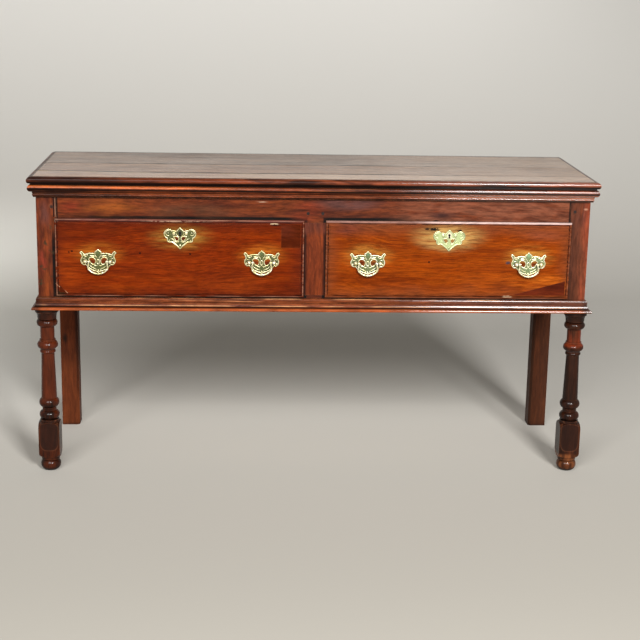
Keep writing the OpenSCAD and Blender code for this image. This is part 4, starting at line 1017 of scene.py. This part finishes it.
def choose_edges(piece, test):
    """Selects the edges whose two ends both pass a test, and opens edit mode on them."""
    pick_only(piece)
    set_mode("EDIT")
    bpy.ops.mesh.select_mode(type="EDGE")
    bpy.ops.mesh.select_all(action="DESELECT")
    set_mode("OBJECT")
    for edge in piece.data.edges:
        edge.select = all(test(piece.data.vertices[i].co) for i in edge.vertices)
    set_mode("EDIT")


choose_edges(sweep, lambda co: co.y > back_y - bend_r - 0.01)
bpy.ops.mesh.spin(steps=16, angle=math.radians(-90), center=(0, back_y - bend_r, bend_r), axis=(1, 0, 0))
set_mode("OBJECT")
lift = max(v.co.z for v in sweep.data.vertices)
choose_edges(sweep, lambda co: co.z > lift - 0.01)
bpy.ops.mesh.extrude_region_move(TRANSFORM_OT_translate={"value": (0, 0, wall_top - lift)})
set_mode("OBJECT")
for face in sweep.data.polygons:
    face.use_smooth = True
print("sweep", extent(sweep))

f = Finish("studio_grey")
# painted light and shade: the grey is painted paler as the sweep rises, paler at the left and greyer high on
# the right; the floor is darker at the front
rise = f.ramp(f.z, 0, 1.6)
front_floor = f.ramp(f.y, 1, -1.2)
f.colour = f.mix(rise, (206, 202, 194), (236, 233, 227))
f.paint(front_floor, (172, 167, 157))
lit_left = f.times(f.span("Y", 0.5, 2.2, 0.6), f.ramp(f.x, -0.7, -1.3))
f.paint(lit_left, (250, 247, 238))
f.paint(f.times(f.ramp(f.x, 0.6, 2.2, 0, 0.85), rise), (198, 195, 188))
f.put("Base Color", f.colour)
f.put("Roughness", 0.9)
f.put("Specular IOR Level", 0)
behind = f.node("ShaderNodeNewGeometry").outputs["Backfacing"]
clear = f.node("ShaderNodeBsdfTransparent").outputs[0]
seen = f.node("ShaderNodeMixShader", {0: behind, 1: f.shader.outputs[0], 2: clear})
f.feed(f.tree.nodes["Material Output"].inputs["Surface"], seen.outputs[0])
sweep.data.materials.append(f.material)

# %% [markdown]
# ## Lamps
# Two soft boxes stand in front: a small strong one on the right, and a wide weak one on the left.
# The strong one is placed so that the round mouldings mirror it only on their right third. Both
# stand near the middle, so their shadows meet on the floor behind the dresser and are deep there.
# The air round the sweep gives very little light, but a view past the sweep, a mirror or a glass
# sees it as a pale haze.
# %% Lamps
def softbox(name, place, target, width, height, watts):
    lamp = add(name, bpy.data.lights.new(name, "AREA"))
    lamp.data.shape = "RECTANGLE"
    lamp.data.size, lamp.data.size_y, lamp.data.energy = width, height, watts
    lamp.location = place
    lamp.rotation_euler = (Vector(target) - Vector(place)).to_track_quat("-Z", "Y").to_euler()
    print(name, "at", place, watts, "W")


softbox("key_lamp", (1.4, -4.9, 3), (0.1, 0, 0.6), 1, 1.6, 350)
softbox("fill_lamp", (-1.3, -4.7, 3.1), (-0.2, 0, 0.5), 2.8, 2.4, 225)
world = bpy.data.worlds.new("studio_air")
bpy.context.scene.world = world
world.use_nodes = True
nodes, link = world.node_tree.nodes, world.node_tree.links.new
air = nodes["Background"]
air.inputs["Color"].default_value = (0.82, 0.84, 0.86, 1)
air.inputs["Strength"].default_value = 0.07
haze = nodes.new("ShaderNodeBackground")
haze.inputs["Color"].default_value = (*shade(196, 193, 186), 1)
rays = nodes.new("ShaderNodeLightPath").outputs
sees_haze = rays["Is Camera Ray"]
for ray in ("Is Glossy Ray", "Is Transmission Ray"):
    either = nodes.new("ShaderNodeMath")
    either.operation = "MAXIMUM"
    link(sees_haze, either.inputs[0])
    link(rays[ray], either.inputs[1])
    sees_haze = either.outputs[0]
both = nodes.new("ShaderNodeMixShader")
for socket, value in ((0, sees_haze), (1, air.outputs[0]), (2, haze.outputs[0])):
    link(value, both.inputs[socket])
link(both.outputs[0], nodes["World Output"].inputs["Surface"])
bpy.context.scene.view_settings.view_transform = "Standard"
